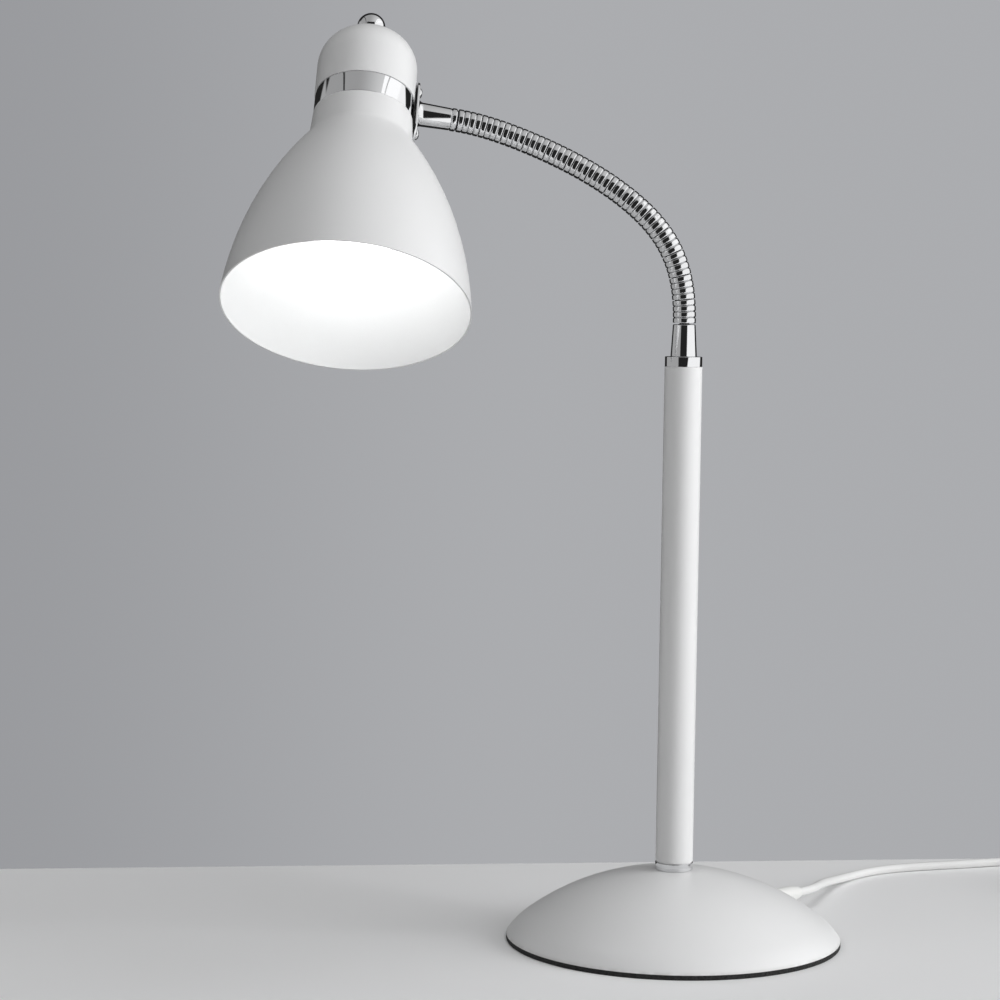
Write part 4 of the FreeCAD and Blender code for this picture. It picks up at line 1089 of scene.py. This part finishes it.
plate_frame = (HEAD @ Matrix.Translation((PLATE_OFFSET, 0, 0)) @ BACK)
make_piece("neck_plate", *stacked(plate_layers, False), "chrome", "head", ["flange_plate"],
           plate_frame)

# %% [markdown]
# ### Screws, wherever there are points
#
# The plate has two screws. Each could be placed by hand. Instead a Geometry Nodes tree sets a
# screw on every point of a mesh and turns each one by a random angle, as a screwdriver would
# leave them. The screw itself is a turned head with a cross cut into it.

# %% A cross-head screw
CROSS_DEEP, CROSS_WIDE = 0.75, 0.2


def screw_blank(name, radius, high, crown):
    """A screw head on the Z axis, in metres, with a cross recess."""
    places, faces = turned([(0, -0.2), (radius, -0.2), (radius, high - crown, crown * 0.5),
                            (radius * 0.62, high, 0.4), (0, high)], 40)
    head = bpy.data.meshes.new(name)
    head.from_pydata([Vector(place) * MM for place in places], [], faces)
    blank = bpy.data.objects.new(name, head)
    scene.collection.objects.link(blank)
    for turn in (0, 90):
        spin = Matrix.Rotation(math.radians(turn), 4, "Z")
        corners = [spin @ Vector((x * radius / 2, y * radius * CROSS_WIDE / 2, z))
                   for z in (high - CROSS_DEEP, high + 0.5)
                   for x, y in ((-1, -1), (1, -1), (1, 1), (-1, 1))]
        sides = [(3, 2, 1, 0), (4, 5, 6, 7), (0, 1, 5, 4), (1, 2, 6, 5), (2, 3, 7, 6), (3, 0, 4, 7)]
        cutter_mesh = bpy.data.meshes.new("cross_arm")
        cutter_mesh.from_pydata([corner * MM for corner in corners], [], sides)
        cutter = bpy.data.objects.new("cross_arm", cutter_mesh)
        scene.collection.objects.link(cutter)
        cut = blank.modifiers.new("cross", "BOOLEAN")
        cut.operation = "DIFFERENCE"
        cut.object = cutter
        cut.solver = "EXACT"
        bpy.context.view_layer.update()
        blank.data = bpy.data.meshes.new_from_object(
            blank.evaluated_get(bpy.context.evaluated_depsgraph_get()))
        blank.modifiers.clear()
        bpy.data.objects.remove(cutter)
    return blank


def screw_tree():
    """A screw on every point of the mesh, turned by chance about its own axis."""
    tree = bpy.data.node_groups.new("screws on points", "GeometryNodeTree")
    board = Board(tree)
    for name, kind in (("Points", "NodeSocketGeometry"), ("Screw", "NodeSocketObject"),
                       ("Seed", "NodeSocketInt"), ("Finish", "NodeSocketMaterial")):
        tree.interface.new_socket(name, in_out="INPUT", socket_type=kind)
    tree.interface.new_socket("Geometry", in_out="OUTPUT", socket_type="NodeSocketGeometry")
    given = tree.nodes.new("NodeGroupInput")
    points, screw, seed, plate = (Wire(board, given.outputs[name])
                                  for name in ("Points", "Screw", "Seed", "Finish"))
    shape = board.node("GeometryNodeObjectInfo", None, {"Object": screw}, "Geometry")
    chance = tree.nodes.new("FunctionNodeRandomValue")
    chance.data_type = "FLOAT"
    chance.inputs[3].default_value = math.pi
    board.feed(chance.inputs["Seed"], seed)
    turn = board.node("ShaderNodeCombineXYZ", None, {2: Wire(board, chance.outputs[1])})
    set_out = board.node("GeometryNodeInstanceOnPoints", None,
                         {"Points": points, "Instance": shape, "Rotation": turn})
    real = board.node("GeometryNodeRealizeInstances", None, {"Geometry": set_out})
    done = board.node("GeometryNodeSetMaterial", None, {"Geometry": real, "Material": plate})
    result = tree.nodes.new("NodeGroupOutput")
    tree.links.new(done.socket, result.inputs[0])
    return tree


SCREW_TREE = screw_tree()


def set_screws(name, spots, frame_at, screw_radius, high, crown, finish, body, stands_for, seed):
    """Screws at these spots on the XY plane of a frame, heads along its Z."""
    blank = screw_blank(name + "_blank", screw_radius, high, crown)
    start = bpy.data.meshes.new(name + "_spots")
    start.from_pydata([Vector((x, y, 0)) * MM for x, y in spots], [], [])
    mesh = baked(name + "_maker", SCREW_TREE, {
        "Screw": blank, "Seed": seed, "Finish": FINISHES[finish].material}, start)
    bpy.data.objects.remove(blank)
    in_metres = frame_at.copy()
    in_metres.translation = frame_at.translation * MM
    mesh.transform(in_metres)
    screws = bpy.data.objects.new(name, mesh)
    scene.collection.objects.link(screws)
    return settle(screws, finish, body, stands_for)


# %% Screws on the plate
SCREW_OFFSET, SCREW_HEAD, SCREW_HIGH, SCREW_CROWN = 13.0, 2.8, 2.0, 0.9
SCREW_SEED = 4
set_screws("plate_screws", [(-SCREW_OFFSET, 0.0), (SCREW_OFFSET, 0.0)],
           HEAD @ Matrix.Translation((PLATE_OFFSET + PLATE_THICK, 0, 0)) @ BACK,
           SCREW_HEAD, SCREW_HIGH, SCREW_CROWN, "chrome", "head", ["flange_screws"], SCREW_SEED)

# %% [markdown]
# ### Band, cap and ball
#
# The band is a short chrome tube between the enamelled cap and shade. The cap is a low dome with
# a wide rounded corner, so its outline is a straight side and two arcs. The ball on top is a nut
# that pulls the cap down; from the front it peeps over the cap's crown.

# %% Band, cap and ball
BAND_RADIUS, BAND_TOP, BAND_LOW, WALL = 26.0, 3.6, -8.5, 0.8
turn_piece("chrome_band", [(BAND_RADIUS - WALL, BAND_LOW), (BAND_RADIUS, BAND_LOW, 0.2),
                           (BAND_RADIUS, BAND_TOP, 0.1), (BAND_RADIUS - WALL, BAND_TOP)],
           "chrome", "head", ["head_band"], HEAD, 160)
CAP_RADIUS, CAP_SIDE, CAP_CORNER, CAP_CROWN = 26.4, 22.0, 22.0, 38.0
CAP_KNEE = math.radians(66.0)
CAP_HOLE = 3.8
knee = CAP_RADIUS - CAP_CORNER + CAP_CORNER * math.cos(CAP_KNEE)
knee_up = CAP_SIDE + CAP_CORNER * math.sin(CAP_KNEE)
crown_centre = knee_up - math.sqrt(CAP_CROWN ** 2 - knee ** 2)
inner_crown = CAP_CROWN - WALL


def crown_height(radius, curve):
    """The height of the cap's crown at this distance from its axis."""
    return crown_centre + math.sqrt(curve * curve - radius * radius)


turn_piece("cap_dome", [
    (CAP_RADIUS - WALL, BAND_TOP + 0.05), (CAP_RADIUS, BAND_TOP + 0.05, 0.15),
    (CAP_RADIUS, CAP_SIDE), (knee, knee_up, CAP_CORNER, -1),
    (CAP_HOLE, crown_height(CAP_HOLE, CAP_CROWN), CAP_CROWN, -1),
    (CAP_HOLE, crown_height(CAP_HOLE, inner_crown)),
    (knee - WALL * math.cos(CAP_KNEE), knee_up - WALL * math.sin(CAP_KNEE), inner_crown, 1),
    (CAP_RADIUS - WALL, CAP_SIDE, CAP_CORNER - WALL, 1),
], "white_enamel", "head", ["head_cap"], HEAD, 160)
BALL_NUT, BALL_NUT_UP, BALL_NUT_NECK = 7.5, 50.15, 5.0
seat = crown_height(CAP_HOLE, CAP_CROWN) + 0.02
turn_piece("ball_nut", [
    (0, seat), (BALL_NUT_NECK, seat, 0.3),
    (BALL_NUT_NECK, BALL_NUT_UP - math.sqrt(BALL_NUT ** 2 - BALL_NUT_NECK ** 2)),
    (BALL_NUT, BALL_NUT_UP, BALL_NUT, -1), (0, BALL_NUT_UP + BALL_NUT, BALL_NUT, -1),
], "chrome", "head", ["ball_finial"], HEAD, 72)

# %% [markdown]
# ### The shade
#
# The shade is spun from one sheet: a shoulder that the band sits over, a short collar under it,
# then a bell that opens in one long arc to a plain rim. Inside, a flat flange carries it on the
# lampholder. The same enamel is on both sides.

# %% The shade
COLLAR_TOP, COLLAR_RADIUS, COLLAR_LOW = 26.1, 27.1, -24.1
BELL_CURVE, MOUTH_RADIUS, RIM_LOW, SHADE_HOLE = 197.0, 64.0, -123.4, 19.0
SHADE_FLANGE = -7.15
shade_top = BAND_LOW - 0.05
collar_step = BAND_RADIUS - WALL - 0.2
turn_piece("bell_shade", [
    (SHADE_HOLE, SHADE_FLANGE - WALL), (SHADE_HOLE, SHADE_FLANGE), (collar_step, SHADE_FLANGE, 0.3),
    (collar_step, shade_top), (COLLAR_TOP, shade_top, 0.3), (COLLAR_RADIUS, COLLAR_LOW, 2.2),
    (MOUTH_RADIUS, RIM_LOW, BELL_CURVE, 1),
    (MOUTH_RADIUS - WALL / 2, RIM_LOW, 0.1), (MOUTH_RADIUS - WALL, RIM_LOW),
    (COLLAR_RADIUS - WALL, COLLAR_LOW - 0.5, BELL_CURVE - WALL, -1),
    (COLLAR_TOP - WALL, shade_top - WALL), (collar_step - WALL, shade_top - WALL),
    (collar_step - WALL, SHADE_FLANGE - WALL),
], "white_enamel", "head", ["shade"], HEAD, 224)

# %% [markdown]
# ### The bulb
#
# The opal bulb is a sphere that runs into a short neck. It is made as a closed turned shell.

# %% The bulb
BULB_RADIUS, BULB_CENTRE, BULB_NECK, BULB_TOP = 22.5, -74.0, 12.4, -45.5
BULB_JOINT, BULB_NECK_CURVE = 16.0, 24.0
joint_up = BULB_CENTRE + math.sqrt(BULB_RADIUS ** 2 - BULB_JOINT ** 2)
turn_piece("opal_bulb", [
    (0, BULB_TOP), (BULB_NECK, BULB_TOP), (BULB_NECK, -50.0),
    (BULB_JOINT, joint_up, BULB_NECK_CURVE, -1), (BULB_RADIUS, BULB_CENTRE, BULB_RADIUS, 1),
    (0, BULB_CENTRE - BULB_RADIUS, BULB_RADIUS, 1),
], "bulb_glass", "head", ["bulb_glass", "bulb_stem"], HEAD, 96)

# %% [markdown]
# ## Floor, light and air
#
# The lamp stands near the far edge of a pale table, in front of a grey wall. The table is one
# plane that ends at that edge. Beyond it the camera sees the world's even grey, so that no wall
# is needed and the lamp can be seen from any side. Polished metal mirrors only the part of the
# table near the lamp and, before it, the dark of the room, as it does in front of a real camera.

# %% The table
TABLE_REACH = 1.3
TABLE_FRONT, MIRRORED_FRONT = -1.5, -0.45
EDGE_BEHIND, EDGE_SLOPE = 0.20355, 0.18458
TABLE_WHITE = 0.91

corners = [(side * TABLE_REACH, EDGE_BEHIND + side * TABLE_REACH * EDGE_SLOPE, 0.0)
           for side in (1, -1)]
corners += [(-TABLE_REACH, TABLE_FRONT, 0.0), (TABLE_REACH, TABLE_FRONT, 0.0)]
floor_mesh = bpy.data.meshes.new("floor")
floor_mesh.from_pydata(corners, [], [(0, 1, 2, 3)])
floor = bpy.data.objects.new("floor", floor_mesh)
scene.collection.objects.link(floor)
table = Finish("table", tone(TABLE_WHITE), Roughness=0.6)
table.drive("Base Color", table.mix(table.noise(3.0), tone(TABLE_WHITE - 0.01),
                                    tone(TABLE_WHITE + 0.01)))
along = table.node("ShaderNodeSeparateXYZ", None, {"Vector": table.place}, "Y")
in_mirrors = table.node("ShaderNodeLightPath", out="Is Glossy Ray")
unseen = in_mirrors * (1.0 - along.ramp(MIRRORED_FRONT - 0.01, MIRRORED_FRONT))
nothing = table.node("ShaderNodeBsdfTransparent")
shown = table.node("ShaderNodeMixShader", None, {
    0: unseen, 1: Wire(table, table.shader.outputs[0]), 2: nothing})
table.feed(table.tree.nodes["Material Output"].inputs["Surface"], shown)
floor_mesh.materials.append(table.material)

# %% [markdown]
# The air around the lamp is the studio. The camera sees an even grey. Matt surfaces are lit by an
# even soft light. Polished metal needs something to mirror, so it sees a plain room. Low down,
# the room is a bright window side on the right, a grey side on the left and a dark stripe behind
# the camera. Higher up it has a pale ceiling on the right, a grey one in the middle and on the
# left, and narrow dark joints between them.

# %% The studio's air
AIR_LIGHT = 0.22
WALL_LEFT, WALL_MIDDLE = 0.325, 0.415
COOL = tone(0.985, 0.99, 1.0)
DARK, GREY_SIDE, WINDOW_BRIGHT, CEILING_BRIGHT, CEILING_GREY = 0.02, 0.42, 1.15, 1.3, 0.38
WINDOW_BEARINGS, WINDOW_LEAN = (26.0, 124.0), 25.0
GREY_BEARINGS = (-127.0, -30.0)
CEILING_START, STRIPE_RISE = 0.42, 0.2
world = bpy.data.worlds.new("studio")
scene.world = world
world.use_nodes = True
air = Board(world.node_tree)
looking = air.node("ShaderNodeTexCoord", out="Generated")
x_part, y_part, z_part = (air.node("ShaderNodeSeparateXYZ", None, {"Vector": looking}, axis)
                          for axis in "XYZ")


def stripe(value, start, end, soft):
    """1 where the value is between start and end, with soft edges."""
    return value.ramp(start, start + soft) * (1.0 - value.ramp(end - soft, end))


bearing = x_part.math("ARCTAN2", x_part, y_part * -1.0) * (180 / math.pi)
window = stripe(bearing - z_part * WINDOW_LEAN, *WINDOW_BEARINGS, 3.0)
grey_side = stripe(bearing, *GREY_BEARINGS, 4.0)
low_room = window * WINDOW_BRIGHT + grey_side * GREY_SIDE
right_ceiling = x_part.ramp(0.60, 0.62) * (1.0 - stripe(x_part, 0.695, 0.715, 0.005) * 0.8)
middle_grey = CEILING_GREY + x_part.ramp(-0.2, 1.0) * 0.5
middle_ceiling = stripe(x_part, -0.55, 0.61, 0.01) * middle_grey
left_ceiling = 1.0 - x_part.ramp(-0.59, -0.585)
ceiling = right_ceiling * CEILING_BRIGHT + middle_ceiling + left_ceiling * CEILING_GREY
ceiling = ceiling * (1.0 - (y_part - x_part * 0.19).ramp(0.44, 0.50))
ceiling_edge = CEILING_START + stripe(x_part, -0.52, 0.52, 0.02) * STRIPE_RISE
raised = (z_part - ceiling_edge).ramp(0.0, 0.05)
room = low_room * (1.0 - raised) + ceiling * raised + DARK

for_camera = air.node("ShaderNodeLightPath", out="Is Camera Ray")
through_glass = air.node("ShaderNodeLightPath", out="Is Transmission Ray")
for_gloss = air.node("ShaderNodeLightPath", out="Is Glossy Ray")
mirrored = air.node("ShaderNodeCombineColor", None, {0: room, 1: room, 2: room})
colour = air.mix(for_gloss, tone(*(AIR_LIGHT * part for part in COOL[:3])), mirrored)
wall = air.mix(x_part.ramp(-0.26, -0.04),
               tone(WALL_LEFT * 0.985, WALL_LEFT, WALL_LEFT * 1.05),
               tone(WALL_MIDDLE * 0.985, WALL_MIDDLE, WALL_MIDDLE * 1.04))
colour = air.mix(for_camera.math("MAXIMUM", for_camera, through_glass), colour, wall)
air.feed(world.node_tree.nodes["Background"].inputs["Color"], colour)


# %% [markdown]
# Two soft boxes shape the enamel: a large one far to the right, which is the window, and a weaker
# one overhead. The left side is lit by the air alone, so it falls to a middle grey. Polished
# metal mirrors the room that the air draws, so the boxes themselves are hidden from mirrors.


# %% Soft boxes
LAMP_MIDDLE = Vector((-0.05, 0.0, 0.25))


def soft_box(name, place, side, watts):
    """A square area light that looks at the middle of the lamp."""
    lamp = bpy.data.lights.new(name, "AREA")
    lamp.shape = "RECTANGLE"
    lamp.size, lamp.size_y = side, side
    lamp.energy = watts
    lamp.color = COOL[:3]
    box = bpy.data.objects.new(name, lamp)
    scene.collection.objects.link(box)
    turn = (LAMP_MIDDLE - Vector(place)).to_track_quat("-Z", "Y")
    box.matrix_world = Matrix.Translation(place) @ turn.to_matrix().to_4x4()
    box.visible_glossy = False


soft_box("window_light", place=(1.95, -0.55, 0.75), side=1.2, watts=32.5)
soft_box("top_light", place=(0.6, -0.8, 4.0), side=2.8, watts=49.0)

# %% [markdown]
# ## Last settings
#
# The standard view shows colours about as they were written.

# %% View
scene.view_settings.view_transform = "Standard"
